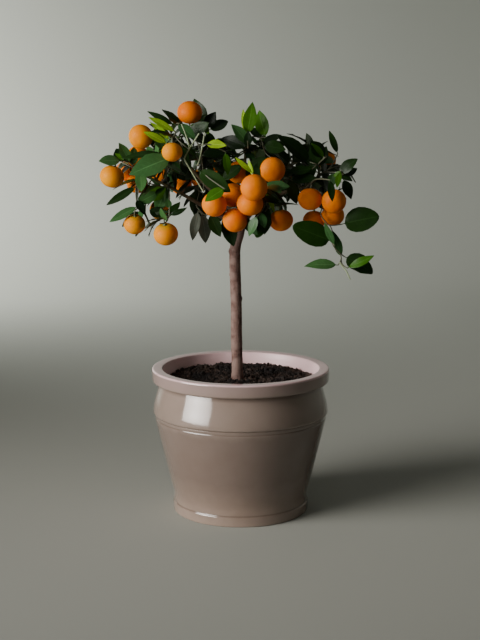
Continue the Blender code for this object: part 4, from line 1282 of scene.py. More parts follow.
def set_aimed_leaves(crown, rng, mass, shoot, aimed):
    """Sets a sprig's own leaves, turned or shortened a little where another thing is in the way."""
    leaves = []
    reach = length_of(shoot)
    for i, (heading, length, width, tint) in enumerate(aimed):
        at = max(0.2, 1 - (0.5 + i * SPRIG_STEP) / reach)
        for attempt in range(AIMED_TRIES):
            lean = SPRIG_LEANS[(i + attempt) % 5]
            bend = (attempt // 5) * (AIMED_BEND if attempt % 2 else -AIMED_BEND)
            size = 1 - AIMED_CUT * (attempt // 5)
            leaf = aimed_leaf(rng, shoot, at, heading + bend, length * size, width * size, tint, lean)
            if crown.keep_leaf(mass, leaf, aimed=True):
                leaves.append(leaf)
                break
    return leaves


# %% [markdown]
# A shoot starts from whichever spot of the growing skeleton reaches its tip best, short and with
# little turning, and leaves along that spot's own direction, which is what makes branching look
# natural. If something stands in its way, it bends round it or starts from the next best spot.


# %% Shoots
def attach(skeleton, tip):
    """The points of the growing skeleton from which a shoot reaches the tip best."""
    costs = []
    for i, place in enumerate(skeleton):
        way = tip - place["at"]
        if way.length > NEAREST_ORIGIN:
            turn = 1 - way.normalized().dot(place["way"])
            costs.append((way.length * (1 + TURN_COST * turn) + RUN_COST * place["run"], i))
    return [skeleton[i] for _, i in sorted(costs)[:SHOOT_ORIGINS]]


def free_way(crown, rng, mass, skeleton, tip, but, follow):
    """A bend from the skeleton to the tip that goes round whatever is there, or None."""
    for place in attach(skeleton, tip):
        far = (tip - place["at"]).length
        for attempt in range(SHOOT_TRIES):
            stray = far * (STRAY[0] + STRAY[1] * attempt / SHOOT_TRIES)
            via = place["at"] + place["way"] * (far * follow)
            via += Vector([rng.uniform(-stray, stray) for _ in range(3)])
            points = bezier(place["at"], via, tip, SHOOT_STEPS)
            fine = smooth_points(points, 4)
            if crown.clear_for_shoot(mass, fine[2:], but):
                return place, points
    return None


def grow_shoot(crown, rng, mass, skeleton, tip, finish=(), but=None, follow=SHOOT_FOLLOWS_PARENT):
    """A shoot from the skeleton to the tip, and on through the finish points, or None."""
    found = free_way(crown, rng, mass, skeleton, tip, but, follow)
    if found is None:
        return None
    origin, points = found
    points += list(finish)
    base = min(SHOOT_BASE_RADIUS, origin["radius"] * 0.92)
    last = len(points) - 1
    radii = [base + (SHOOT_TIP_RADIUS - base) * i / last for i in range(last + 1)]
    run = origin["run"]
    for i in range(1, SHOOT_STEPS + 1):
        step = points[i] - points[i - 1]
        run += step.length
        crown.take(points[i], radii[i], "twig", mass)
        crown.take(points[i - 1].lerp(points[i], 0.5), radii[i], "twig", mass)
        place = {"at": points[i], "way": step.normalized(), "run": run, "radius": radii[i]}
        skeleton.append(place)
    stalk = STALK_LENGTH if finish else 0.0
    bears = (LEAVES_ON_A_STALK, STALK_LEAF_LENGTH, "dark") if finish else (0, 0, "dark")
    return {"points": points, "radii": radii, "stalk": stalk, "aimed": (), "bears": bears}


def spread_tips(lobes, rng, reaches):
    """Tips for further shoots, spread over each lobe by the golden angle."""
    tips = []
    for centre, radii, count in lobes:
        for i in range(count):
            height = 1 - 2 * (i + 0.5) / count
            ring = math.sqrt(1 - height**2)
            turn = i * LEAF_TURN + rng.uniform(-0.2, 0.2)
            way = (ring * math.cos(turn), ring * math.sin(turn), height)
            reach = rng.uniform(*reaches)
            tips.append(Vector([c + r * w * reach for c, r, w in zip(centre, radii, way)]))
    return tips


def start_skeleton(mass):
    """The mass's stem: it goes on from its bough's tip to the middle of its first lobe."""
    points, radii = bough_line(mass, 12)
    way = (points[-1] - points[-2]).normalized()
    start = points[-1] + way * GAP
    centre = Vector(MASSES[mass]["hub"])
    far = (centre - start).length
    line = bezier(start, start + way * far * 0.5, centre, 6)
    widths = [radii[-1] + (SHOOT_BASE_RADIUS - radii[-1]) * i / 6 for i in range(7)]
    skeleton, run = [], 0.0
    for i in range(1, 7):
        step = line[i] - line[i - 1]
        run += step.length
        place = {"at": line[i], "way": step.normalized(), "run": run, "radius": widths[i]}
        skeleton.append(place)
    return {"points": line, "radii": widths}, skeleton


# %% Stages of growth
def claim_fruit(crown):
    """Gives every placed fruit its room, before anything grows."""
    for name, mass in MASSES.items():
        for x, y, z, across, _ in mass["fruit"]:
            crown.add_fruit(Vector((x, y, z)), across / 2)


def grow_own(crown, rng, mass, placed):
    """A mass's stem, and the shoots that bear its own fruit and sprigs, nearest first."""
    stem, skeleton = start_skeleton(mass)
    grown = {"stem": stem, "skeleton": skeleton, "shoots": [], "leaves": [], "fruit": []}
    hub = skeleton[-1]["at"]
    jobs = []
    for i, (x, y, z, across, stalk) in enumerate(MASSES[mass]["fruit"]):
        centre = Vector((x, y, z))
        way = (STALK_WAYS[stalk] + (hub - centre).normalized() * STALK_TO_HUB).normalized()
        tip = centre + way * (across / 2 + STALK_LENGTH)
        jobs.append((tip, (), (centre, across, way, placed + i)))
    for x, y, z, aimed in MASSES[mass]["sprigs"]:
        jobs.append((Vector((x, y, z)), aimed, None))
    jobs.sort(key=lambda job: (job[0] - hub).length)
    for tip, aimed, fruit in jobs:
        finish, but = [], None
        if fruit:
            centre, across, way, but = fruit
            finish = [centre + way * across * STALK_SUNK]
        shoot = grow_shoot(crown, rng, mass, skeleton, tip, finish, but)
        if shoot is None:
            continue
        shoot["aimed"] = aimed
        grown["shoots"].append(shoot)
        if fruit:
            grown["fruit"].append({"centre": centre, "across": across, "way": way})
    for wand in WANDS.get(mass, ()):
        origins = skeleton
        for point in wand:
            shoot = grow_shoot(crown, rng, mass, origins, Vector(point), follow=WAND_BEND)
            if shoot is None:
                break
            shoot["wand"] = point is not wand[0]
            grown["shoots"].append(shoot)
            origins = origins[-1:]
            if point is not wand[0]:
                crown.shown += [(spot, WAND_ROOM) for spot in smooth_points(shoot["points"], 4)]
    return grown


def grow_further(crown, rng, mass, grown):
    """The further shoots that the rule spreads over a mass, and the fruit hung on some."""
    hung = 0
    for tip in spread_tips(MASSES[mass]["lobes"], rng, SHOOT_REACH):
        if crown.home(tip) != mass or crown.hides_shown(tip):
            continue
        shoot = grow_shoot(crown, rng, mass, grown["skeleton"], tip)
        if shoot is None:
            continue
        across = rng.uniform(*HUNG_FRUIT)
        centre = tip - UP * (across / 2 + STALK_LENGTH)
        wanted = hung < MASSES[mass]["hung"] and centre.y > HUNG_BEHIND
        if wanted and fruit_fits(crown, mass, centre, across / 2):
            shoot["points"].append(centre + UP * across * STALK_SUNK)
            shoot["radii"].append(SHOOT_TIP_RADIUS)
            shoot["stalk"] = STALK_LENGTH
            crown.add_fruit(centre, across / 2)
            grown["fruit"].append({"centre": centre, "across": across, "way": UP.copy()})
            hung += 1
        tint = rng.choice(SHOOT_TINTS)
        shoot["bears"] = (rng.randint(*LEAVES_ON_A_SHOOT), rng.uniform(*LEAF_LENGTHS), tint)
        grown["shoots"].append(shoot)


def fruit_fits(crown, mass, centre, radius):
    """Whether a fruit hung by the rule is clear of the others, the wood and the leaves."""
    if not crown.clear_of_fruit(centre, radius + FRUIT_TO_FRUIT):
        return False
    for i in range(3):
        reach = Vector([radius if j == i else 0 for j in range(3)])
        if not crown.inside(mass, centre + reach) or not crown.inside(mass, centre - reach):
            return False
    for spots in crown.taken.values():
        for other, size, _, _ in spots:
            if (centre - other).length < radius + size + FRUIT_TO_OTHER:
                return False
    return True


# %% [markdown]
# The CAD stops at the shoots that give the crown its outline. Here the same rule goes one step on:
# finer shoots with smaller leaves fill each lobe from within, and never past its edge.

# %% Grow the crown
FINER_SHOOTS = 5
FINER_BEHIND = 7
FINER_REACH = (0.15, 0.8)
FINER_LEAVES = (4, 6)
FINER_LENGTH = (36.0, 52.0)
FINER_TINTS = ("dark",) * 8 + ("mid",) * 4 + ("fresh",)


def grow_finer(crown, rng, mass, grown):
    """The finer shoots, which the CAD doesn't have, and their leaves."""
    shares = [
        (centre, radii, FINER_SHOOTS * count + (FINER_BEHIND if centre[1] > 50 else 0))
        for centre, radii, count in MASSES[mass]["lobes"]
    ]
    finer = []
    for tip in spread_tips(shares, rng, FINER_REACH):
        if not crown.inside(mass, tip) or crown.hides_shown(tip):
            continue
        shoot = grow_shoot(crown, rng, mass, grown["skeleton"], tip)
        if shoot:
            length = rng.uniform(*FINER_LENGTH)
            shoot["bears"] = (rng.randint(*FINER_LEAVES), length, rng.choice(FINER_TINTS))
            finer.append(shoot)
    return finer


def grow_crown():
    """All the masses: their own fruit and sprigs, the rule's shoots and leaves, then finer ones."""
    crown = Crown()
    claim_fruit(crown)
    draws = {mass: random.Random(MASSES[mass]["seed"]) for mass in MASSES}
    grown, placed = {}, 0
    for mass in MASSES:
        grown[mass] = grow_own(crown, draws[mass], mass, placed)
        placed += len(MASSES[mass]["fruit"])
    for mass in MASSES:
        for shoot in grown[mass]["shoots"]:
            grown[mass]["leaves"] += set_aimed_leaves(crown, draws[mass], mass, shoot, shoot["aimed"])
    for mass in MASSES:
        grow_further(crown, draws[mass], mass, grown[mass])
    for mass in MASSES:
        for shoot in grown[mass]["shoots"]:
            grown[mass]["leaves"] += set_leaves(crown, draws[mass], mass, shoot)
    own = sum(len(g["leaves"]) for g in grown.values())
    for mass in MASSES:
        finer = grow_finer(crown, draws[mass], mass, grown[mass])
        for shoot in finer:
            grown[mass]["leaves"] += set_leaves(crown, draws[mass], mass, shoot)
        grown[mass]["shoots"] += finer
    total = sum(len(g["leaves"]) for g in grown.values())
    print(own, "leaves are the CAD's and", total - own, "are finer ones")
    return grown


GROWN = grow_crown()

# %% [markdown]
# ## Trunk and boughs
# The bark is one skin over the trunk, the boughs and the stems that go on from them. Loose tubes
# that merely cross would show hard seams at every fork, so the tubes are only a start: a voxel
# remesh melts them into one body, a little smoothing rounds the crotches, and the relief is then
# moved into the mesh itself, drawn out along each limb as bark splits.

# %% Limb tubes
LIMB_STEP = 4.0
COLLAR = 0.45
COLLAR_REACH = 7.0


def smooth_line(points, radii, step):
    """The same line with a point about every step, on a curve through the given ones."""
    line, widths = [], []
    ends = [points[0] * 2 - points[1]] + list(points) + [points[-1] * 2 - points[-2]]
    for i in range(len(points) - 1):
        a, b, c, d = ends[i : i + 4]
        count = max(1, round((c - b).length / step))
        for k in range(count):
            t = k / count
            curve = b * 2 + (c - a) * t + (a * 2 - b * 5 + c * 4 - d) * t**2 + (b * 3 - a - c * 3 + d) * t**3
            line.append(curve * 0.5)
            widths.append(radii[i] + (radii[i + 1] - radii[i]) * t)
    return line + [points[-1]], widths + [radii[-1]]


def add_tube(made, points, radii, sides):
    """Adds a closed tube along the points to a bmesh, with rings that don't twist."""
    along = (points[1] - points[0]).normalized()
    side = along.orthogonal().normalized()
    rings = []
    for i, (point, radius) in enumerate(zip(points, radii)):
        ahead = points[min(i + 1, len(points) - 1)] - points[max(i - 1, 0)]
        along = ahead.normalized()
        side = (side - along * side.dot(along)).normalized()
        other = along.cross(side)
        ring = []
        for k in range(sides):
            turn = 2 * math.pi * k / sides
            out = side * math.cos(turn) + other * math.sin(turn)
            ring.append(made.verts.new((point + out * radius) * MM))
        rings.append(ring)
    for low, high in zip(rings, rings[1:]):
        for k in range(sides):
            on = (k + 1) % sides
            made.faces.new((low[k], low[on], high[on], high[k]))
    made.faces.new(rings[0][::-1])
    made.faces.new(rings[-1])


def limb_lines():
    """Every limb as a smooth line with radii: the trunk, then each bough with its stem."""
    points, radii = trunk_line()
    points[0] = points[0] - UP * 2.0
    lines = [smooth_line(points, radii, LIMB_STEP)]
    for mass in MASSES:
        points, radii = bough_line(mass, 8)
        stem = GROWN[mass]["stem"]
        line, widths = smooth_line(points + stem["points"][1:], radii + stem["radii"][1:], LIMB_STEP)
        run = 0.0
        for i, point in enumerate(line):
            run += (point - line[max(i - 1, 0)]).length
            widths[i] *= 1 + COLLAR * math.exp(-(max(0.0, run - 6.0) / COLLAR_REACH) ** 2)
        lines.append((line, widths))
    return lines


LIMBS = limb_lines()
print("the limbs are", round(sum(len(line) for line, _ in LIMBS) * LIMB_STEP), "mm long in all")

# %% Bark skin
VOXEL = 0.8
TRUNK_SIDES = 24
BOUGH_SIDES = 14


def make_skin():
    """One closed skin over all the limbs and the knobs where shoots were pruned."""
    made = bmesh.new()
    for i, (line, widths) in enumerate(LIMBS):
        add_tube(made, line, widths, BOUGH_SIDES if i else TRUNK_SIDES)
    line, widths = LIMBS[0]
    for height, compass, size in TRUNK_KNOBS:
        near = min(range(len(line)), key=lambda k: abs(line[k].z - height))
        turn = math.radians(compass)
        out = Vector((math.cos(turn), math.sin(turn), 0))
        spot = line[near] + out * (widths[near] - size * 0.5)
        shape = Matrix.Translation(spot * MM) @ Matrix.Diagonal((1, 1, 1.5, 1))
        bmesh.ops.create_icosphere(made, subdivisions=3, radius=size * MM, matrix=shape)
    skin = from_bmesh("trunk_and_boughs", made)
    remesh = skin.modifiers.new("melt", "REMESH")
    remesh.mode = "VOXEL"
    remesh.voxel_size = VOXEL * MM
    remesh.use_smooth_shade = True
    smooth = skin.modifiers.new("soften", "SMOOTH")
    smooth.factor = 0.5
    smooth.iterations = 5
    settle(skin)
    return skin


bark_skin = make_skin()
print("the skin has", len(bark_skin.data.vertices), "points")

# %% [markdown]
# Citrus bark is fine: shallow cracks that run up the stem, rings of little bumps, and on this tree
# a pitted scar below the crown where an old shoot was cut. The depth of the relief goes with the
# limb's thickness, so the young wood stays smooth. The same walk over the points also notes how
# young the wood is, from 0 at the trunk to 1 where leaves begin, for the colour.

# %% Bark relief
CRACK_DEPTH = 0.42
CRACK_WIDTH = 2.4
CRACK_LENGTH = 13.0
RING_DEPTH = 0.16
SCAR_PLACE = Vector((-14.5, -5.0, 402.0))
SCAR_REACH = 5.0


def limb_marks():
    """A search tree of the limbs' points, with each point's direction, radius and youth."""
    facts = []
    for i, (line, widths) in enumerate(LIMBS):
        for k, (point, width) in enumerate(zip(line, widths)):
            ahead = line[min(k + 1, len(line) - 1)] - line[max(k - 1, 0)]
            youth = 0.0 if i == 0 else min(1.0, k / (len(line) - 1) * 1.1)
            facts.append((point, ahead.normalized(), width, youth))
    search = KDTree(len(facts))
    for i, fact in enumerate(facts):
        search.insert(fact[0] * MM, i)
    search.balance()
    return search, facts


def carve_bark(mesh):
    """Moves the skin's points in and out for cracks, rings and the scar; notes the wood's youth."""
    search, facts = limb_marks()
    youths = []
    normals = [vert.normal.copy() for vert in mesh.vertices]
    for vert, normal in zip(mesh.vertices, normals):
        middle, way, width, youth = facts[search.find(vert.co)[1]]
        spot = vert.co / MM
        run = (spot - middle).dot(way)
        cross = spot - way * (spot.dot(way))
        coarse = min(1.0, width / 8.0)
        grain = cross / CRACK_WIDTH + way * ((middle.dot(way) + run) / CRACK_LENGTH)
        crack = abs(noise.noise(grain)) + 0.5 * abs(noise.noise(grain * 2.1))
        ring = noise.noise(Vector((spot.z / 3.1, spot.x / 19.0, spot.y / 19.0)))
        depth = CRACK_DEPTH * (0.45 - crack) * coarse + RING_DEPTH * ring * coarse
        near = (spot - SCAR_PLACE).length / SCAR_REACH
        if near < 1.5:
            pits = noise.noise(spot / 1.3)
            depth += math.exp(-(near**2)) * (pits * 0.9 - 0.3)
        vert.co += normal * (depth * MM)
        youths.append(youth)
    layer = mesh.attributes.new("youth", "FLOAT", "POINT")
    layer.data.foreach_set("value", youths)


carve_bark(bark_skin.data)
print("cracks are", CRACK_DEPTH, "mm deep")

# %% Bark finish
BARK_FRESH = (0.105, 0.100, 0.038)


def make_bark_look():
    """Pinkish-brown bark with paler patches, greener on young wood."""
    made, tree, shader = start_material("bark", 0.78)
    shader.inputs["Specular IOR Level"].default_value = 0.35
    fine = clouds_in(tree, (0.158, 0.082, 0.066), (0.078, 0.041, 0.033), 0.0030, 0.16)["Colour"]
    patches = clouds_in(tree, fine, (0.215, 0.140, 0.118), 0.014, 0.1)
    youth = put(tree, "ShaderNodeAttribute", attribute_name="youth").outputs["Fac"]
    share = mapped(tree, youth, 0.15, 0.75)
    young = clouds_in(tree, BARK_FRESH, (0.065, 0.050, 0.026), 0.006, 0.2)["Colour"]
    tree.links.new(blended(tree, share, patches["Colour"], young), shader.inputs["Base Color"])
    bump_in(tree, shader, grain_in(tree, 0.0011, 3.0), 0.5, 0.0004)
    return made


WOOD_NODES = ["trunk"] + ["bough_" + name for name in BOUGHS]
bark_skin.data.shade_smooth()
finish_piece(bark_skin, WOOD_NODES, make_bark_look())

# %% [markdown]
# ## Twigs
# A shoot is a thin green rod that thins towards its tip.
# Geometry Nodes make them all at once: each shoot is a row of points joined by edges, the tree
# turns the rows into curves, rounds them, and runs a small ring along each. Thickness and youth
# come with the points as attributes.


# %% Twig tree
def make_rods():
    """Turns rows of joined points into round, closed rods of the thickness they carry."""
    tree, given, result = start_group(
        "round_rods",
        "GeometryNodeTree",
        (
            ("Geometry", "NodeSocketGeometry", None),
            ("Sides", "NodeSocketInt", 7),
            ("Steps", "NodeSocketInt", 12),
            ("Finish", "NodeSocketMaterial", None),
        ),
        (("Geometry", "NodeSocketGeometry"),),
    )
    curve = put(tree, "GeometryNodeMeshToCurve", {"Mesh": given["Geometry"]}).outputs["Curve"]
    bent = put(tree, "GeometryNodeCurveSplineType", {"Curve": curve}, spline_type="CATMULL_ROM")
    even = put(
        tree, "GeometryNodeResampleCurve", {"Curve": bent.outputs["Curve"], "Count": given["Steps"]}
    ).outputs["Curve"]
    ring = put(tree, "GeometryNodeCurvePrimitiveCircle", {"Resolution": given["Sides"], "Radius": 1.0})
    thickness = put(tree, "GeometryNodeInputNamedAttribute", {"Name": "thickness"}, data_type="FLOAT")
    rods = put(
        tree,
        "GeometryNodeCurveToMesh",
        {
            "Curve": even,
            "Profile Curve": ring.outputs["Curve"],
            "Scale": socket_of(thickness.outputs, "Attribute"),
            "Fill Caps": True,
        },
    ).outputs["Mesh"]
    plain = put(tree, "GeometryNodeRealizeInstances", {"Geometry": rods}).outputs["Geometry"]
    smooth = put(tree, "GeometryNodeSetShadeSmooth", {"Geometry": plain}).outputs["Geometry"]
    dressed = put(tree, "GeometryNodeSetMaterial", {"Geometry": smooth, "Material": given["Finish"]})
    tree.links.new(dressed.outputs["Geometry"], result["Geometry"])
    return tree


RODS = make_rods()

# %% Twig finish
TWIG_GREEN = (0.330, 0.400, 0.230)
TWIG_OLIVE = (0.060, 0.052, 0.028)


def make_twig_look():
    """Olive wood where the youth is low, pale green where it is high."""
    made, tree, shader = start_material("green_twig", 0.5)
    youth = put(tree, "ShaderNodeAttribute", attribute_name="youth").outputs["Fac"]
    aged = blended(tree, youth, TWIG_OLIVE, TWIG_GREEN)
    darker = put(tree, "ShaderNodeHueSaturation", {"Color": aged, "Value": 0.7}).outputs[0]
    tree.links.new(clouds_in(tree, aged, darker, 0.004, 0.2)["Colour"], shader.inputs["Base Color"])
    bump_in(tree, shader, grain_in(tree, 0.0008, 3.0), 0.3, 0.0002)
    return made


# %% Twigs
TWIG_THIN = 0.72
STALK_RADIUS = 0.95
WAND_RADIUS = 1.0


def make_twigs():
    """All the shoots as one piece of rods."""
    verts, edges, widths, youths = [], [], [], []
    for grown in GROWN.values():
        for shoot in grown["shoots"]:
            first = len(verts)
            count = len(shoot["points"])
            bare = shoot.get("wand", False)
            for i, (point, radius) in enumerate(zip(shoot["points"], shoot["radii"])):
                verts.append(tuple(point * MM))
                thin = TWIG_THIN + 0.2 * (1 - i / (count - 1))
                least = WAND_RADIUS if bare else STALK_RADIUS if shoot["stalk"] else 0.0
                widths.append(max(radius * thin, least) * MM)
                # All shoots but the wands get a low youth and stay near olive: partly older wood's colour,
                # partly painted shade for the crown's shaded inside.
                youths.append(1.0 if bare else 0.05 + 0.15 * i / (count - 1))
            edges += [(k, k + 1) for k in range(first, len(verts) - 1)]
    mesh = bpy.data.meshes.new("twigs")
    mesh.from_pydata(verts, edges, [])
    mesh.attributes.new("thickness", "FLOAT", "POINT").data.foreach_set("value", widths)
    mesh.attributes.new("youth", "FLOAT", "POINT").data.foreach_set("value", youths)
    twigs = add_object("twigs", mesh)
    grow_with(twigs, RODS, Finish=make_twig_look())
    finish_piece(twigs, FOLIAGE_NODES)
    return twigs


twigs = make_twigs()

# %% [markdown]
# ## Leaves
# A citrus leaf is a stiff, shining blade folded a little along its midrib, arched down to its tip,
# often with a slight twist and a wavy edge. All of them are one small form, a closed blade in unit
# sizes, set on points by Geometry Nodes. The tree doesn't just turn and scale it: it lays every
# point of the blade anew from that leaf's own length, width, arch, twist and wave, which ride along
# as attributes. So no two leaves are the same, and each still has only some five dozen faces.

# %% Leaf form
LEAF_ROWS = (0.03, 0.085, 0.135, 0.22, 0.36, 0.52, 0.68, 0.82, 0.92, 0.975)
TOP_COLUMNS = (-1.0, -0.5, 0.0, 0.5, 1.0)
TOP_LIFT = (0.0, 0.9, 0.1, 0.9, 0.0)
STALK_SHARE = 0.09
MIDRIB_DROP = -2.4
STALK_ROUND = 2.6


def make_leaf_form():
    """A closed blade: x runs across from -1 to 1, y along from 0 to 1, and z tells its skins."""
    made = bmesh.new()
    tail = made.verts.new((0, 0, 0))
    tip = made.verts.new((0, 1, 0))
    tops, bottoms = [], []
    for row in LEAF_ROWS:
        stalk = row < STALK_SHARE
        top = []
        for across, lift in zip(TOP_COLUMNS, TOP_LIFT):
            rise = STALK_ROUND * (1 - abs(across)) if stalk else lift
            top.append(made.verts.new((across, row, rise)))
        drop = -STALK_ROUND if stalk else MIDRIB_DROP * (1.1 - row)
        under = [made.verts.new((across, row, drop * (1 - abs(across)) ** 2)) for across in TOP_COLUMNS[1:-1]]
        tops.append(top)
        bottoms.append([top[0], *under, top[-1]])
    upper = []
    for low, high in zip(tops, tops[1:]):
        upper += [made.faces.new((low[k], low[k + 1], high[k + 1], high[k])) for k in range(4)]
    for low, high in zip(bottoms, bottoms[1:]):
        for k in range(4):
            made.faces.new((low[k], high[k], high[k + 1], low[k + 1]))
    for k in range(4):
        upper.append(made.faces.new((tail, tops[0][k + 1], tops[0][k])))
        upper.append(made.faces.new((tip, tops[-1][k], tops[-1][k + 1])))
        made.faces.new((tail, bottoms[0][k], bottoms[0][k + 1]))
        made.faces.new((tip, bottoms[-1][k + 1], bottoms[-1][k]))
    return made, upper


def save_leaf_form():
    """The form as an object, with its own UV map, a mark on its upper skin and a sharp edge."""
    made, upper = make_leaf_form()
    made.faces.index_update()
    tops = [face in upper for face in made.faces]
    unfold = made.loops.layers.uv.new("blade")
    for face in made.faces:
        for loop in face.loops:
            loop[unfold].uv = (loop.vert.co.x / 2 + 0.5, loop.vert.co.y)
    for edge in made.edges:
        edge.smooth = not all(abs(vert.co.x) > 0.99 for vert in edge.verts)
    form = from_bmesh("leaf_form", made)
    form.data.attributes.new("upper", "FLOAT", "FACE").data.foreach_set("value", [float(t) for t in tops])
    spots = [x for vert in form.data.vertices for x in vert.co]
    form.data.attributes.new("spot", "FLOAT_VECTOR", "POINT").data.foreach_set("vector", spots)
    for face in form.data.polygons:
        face.use_smooth = True
    return form


leaf_form = save_leaf_form()
print("the leaf form has", len(leaf_form.data.polygons), "faces")


# %% Leaf tree
def read_attribute(tree, name, kind="FLOAT_VECTOR"):
    """The value of a named attribute."""
    made = put(tree, "GeometryNodeInputNamedAttribute", {"Name": name}, data_type=kind)
    return socket_of(made.outputs, "Attribute")


def make_blades():
    """Sets the leaf form on points and lays every point of it by that leaf's own measures."""
    tree, given, result = start_group(
        "laid_blades",
        "GeometryNodeTree",
        (
            ("Geometry", "NodeSocketGeometry", None),
            ("Form", "NodeSocketObject", None),
            ("Finish", "NodeSocketMaterial", None),
            ("Fold", "NodeSocketFloat", 0.16),
            ("Thickness", "NodeSocketFloat", 0.0005),
            ("Stalk Radius", "NodeSocketFloat", 0.0006),
            ("Stalk Share", "NodeSocketFloat", 0.09),
            ("Fullness", "NodeSocketFloat", 0.6),
            ("Point", "NodeSocketFloat", 0.3),
        ),
        (("Geometry", "NodeSocketGeometry"),),
    )
    form = put(tree, "GeometryNodeObjectInfo", {"Object": given["Form"]}).outputs["Geometry"]
    laid = put(tree, "GeometryNodeInstanceOnPoints", {"Points": given["Geometry"], "Instance": form})
    plain = put(tree, "GeometryNodeRealizeInstances", {"Geometry": laid.outputs["Instances"]})
    spot = put(tree, "ShaderNodeSeparateXYZ", {"Vector": read_attribute(tree, "spot")}).outputs
    size = put(tree, "ShaderNodeSeparateXYZ", {"Vector": read_attribute(tree, "size")}).outputs
    bend = put(tree, "ShaderNodeSeparateXYZ", {"Vector": read_attribute(tree, "bend")}).outputs
    across, along, skin = spot["X"], spot["Y"], spot["Z"]
    length, width, curl = size["X"], size["Y"], size["Z"]
    twist, wave, phase = bend["X"], bend["Y"], bend["Z"]
    blade = mapped(tree, along, given["Stalk Share"], 1.0)
    swell = maths(tree, "SINE", maths(tree, "MULTIPLY", maths(tree, "POWER", blade, 0.85), math.pi))
    power = maths(tree, "MULTIPLY_ADD", blade, given["Point"])
    tree.links.new(given["Fullness"], power.node.inputs[2])
    power = maths(tree, "ADD", power, read_attribute(tree, "slender", "FLOAT"))
    outline = maths(tree, "POWER", maths(tree, "MAXIMUM", swell, 0.0), power)
    half = maths(tree, "MULTIPLY", maths(tree, "MULTIPLY", width, 0.5), outline)
    half = maths(tree, "MAXIMUM", half, given["Stalk Radius"])
    aside = maths(tree, "MULTIPLY", across, half)
    edge = maths(tree, "ABSOLUTE", aside)
    ripple = maths(tree, "SINE", maths(tree, "ADD", maths(tree, "MULTIPLY", along, 13.0), phase))
    ripple = maths(tree, "MULTIPLY", ripple, maths(tree, "MULTIPLY", wave, edge))
    arch = maths(tree, "MULTIPLY", maths(tree, "MULTIPLY", along, along), length)
    lift = maths(tree, "MULTIPLY", edge, given["Fold"])
    lift = maths(tree, "SUBTRACT", lift, maths(tree, "MULTIPLY", arch, curl))
    lift = maths(tree, "ADD", lift, ripple)
    lift = maths(tree, "ADD", lift, maths(tree, "MULTIPLY", skin, given["Thickness"]))
    turn = maths(tree, "MULTIPLY", twist, along)
    cosine, sine = maths(tree, "COSINE", turn), maths(tree, "SINE", turn)
    side, face = read_attribute(tree, "side"), read_attribute(tree, "face")
    to_side = vectors(
        tree, "ADD", vectors(tree, "SCALE", side, cosine), vectors(tree, "SCALE", face, sine)
    )
    to_face = vectors(
        tree, "SUBTRACT", vectors(tree, "SCALE", face, cosine), vectors(tree, "SCALE", side, sine)
    )
    reach = vectors(tree, "SCALE", read_attribute(tree, "way"), maths(tree, "MULTIPLY", along, length))
    place = vectors(tree, "ADD", read_attribute(tree, "root"), reach)
    place = vectors(tree, "ADD", place, vectors(tree, "SCALE", to_side, aside))
    place = vectors(tree, "ADD", place, vectors(tree, "SCALE", to_face, lift))
    opened = put(
        tree, "GeometryNodeSetPosition", {"Geometry": plain.outputs["Geometry"], "Position": place}
    ).outputs["Geometry"]
    dressed = put(tree, "GeometryNodeSetMaterial", {"Geometry": opened, "Material": given["Finish"]})
    tree.links.new(dressed.outputs["Geometry"], result["Geometry"])
    return tree


BLADES = make_blades()
print("the leaf tree has", len(BLADES.nodes), "nodes")

# %% [markdown]
# The tints stand partly for age and partly for light: dark green old leaves, bluish ones in
# between, fresh and lime-green young ones at the tips. The "dark" and "wide" tints are near-black
# as painted shade, for the leaves on the crown's shaded right side and inside, and many sprigs on
# the lit left side have the lighter "mid" tint. Each tint is a piece and a finish of its own, so its
# colour stays in place wherever the model goes. Inside a tint each leaf is a little lighter or
# darker, by a number it carries. The upper skin shines like wax; the underside is paler and dull.
# Midrib and side veins are drawn by the blade's own UV map, thin and pale.

# %% Leaf finish
VEIN_ANGLE = 0.42
VEIN_COUNT = 9.0


def make_veins():
    """A mask of the midrib and the side veins, from the blade's own UV map."""
    tree, _, result = start_group(
        "leaf_veins",
        "ShaderNodeTree",
        (),
        (("Midrib", "NodeSocketFloat"), ("Side Veins", "NodeSocketFloat")),
    )
    unfold = put(tree, "ShaderNodeUVMap", uv_map="blade").outputs["UV"]
    spot = put(tree, "ShaderNodeSeparateXYZ", {"Vector": unfold}).outputs
    aside = maths(tree, "ABSOLUTE", maths(tree, "SUBTRACT", spot["X"], 0.5))
    tree.links.new(mapped(tree, aside, 0.034, 0.012), result["Midrib"])
    slant = maths(tree, "SUBTRACT", spot["Y"], maths(tree, "MULTIPLY", aside, VEIN_ANGLE))
    wave = maths(tree, "SINE", maths(tree, "MULTIPLY", slant, 2 * math.pi * VEIN_COUNT))
    veins = maths(tree, "MULTIPLY", mapped(tree, wave, 0.82, 1.0), mapped(tree, aside, 0.5, 0.1))
    tree.links.new(veins, result["Side Veins"])
    return tree


VEINS = make_veins()
# Each tint: the darker and the lighter colour of its leaves, and their underside. The near-black
# colours of "dark" and "wide" are partly painted shade.
LEAF_TINTS = {
    "dark": ((0.0026, 0.0090, 0.0018), (0.0120, 0.0350, 0.0056), (0.015, 0.030, 0.008)),
    "mid": ((0.0200, 0.0640, 0.0180), (0.0460, 0.1240, 0.0330), (0.050, 0.085, 0.036)),
    "fresh": ((0.0200, 0.0760, 0.0020), (0.0450, 0.1150, 0.0050), (0.070, 0.120, 0.018)),
    "young": ((0.1500, 0.2900, 0.0080), (0.2600, 0.4200, 0.0130), (0.260, 0.360, 0.050)),
    "pale": ((0.0850, 0.1020, 0.0780), (0.1250, 0.1500, 0.1150), (0.120, 0.142, 0.108)),
    "wide": ((0.0035, 0.0140, 0.0014), (0.0100, 0.0340, 0.0034), (0.018, 0.036, 0.008)),
}


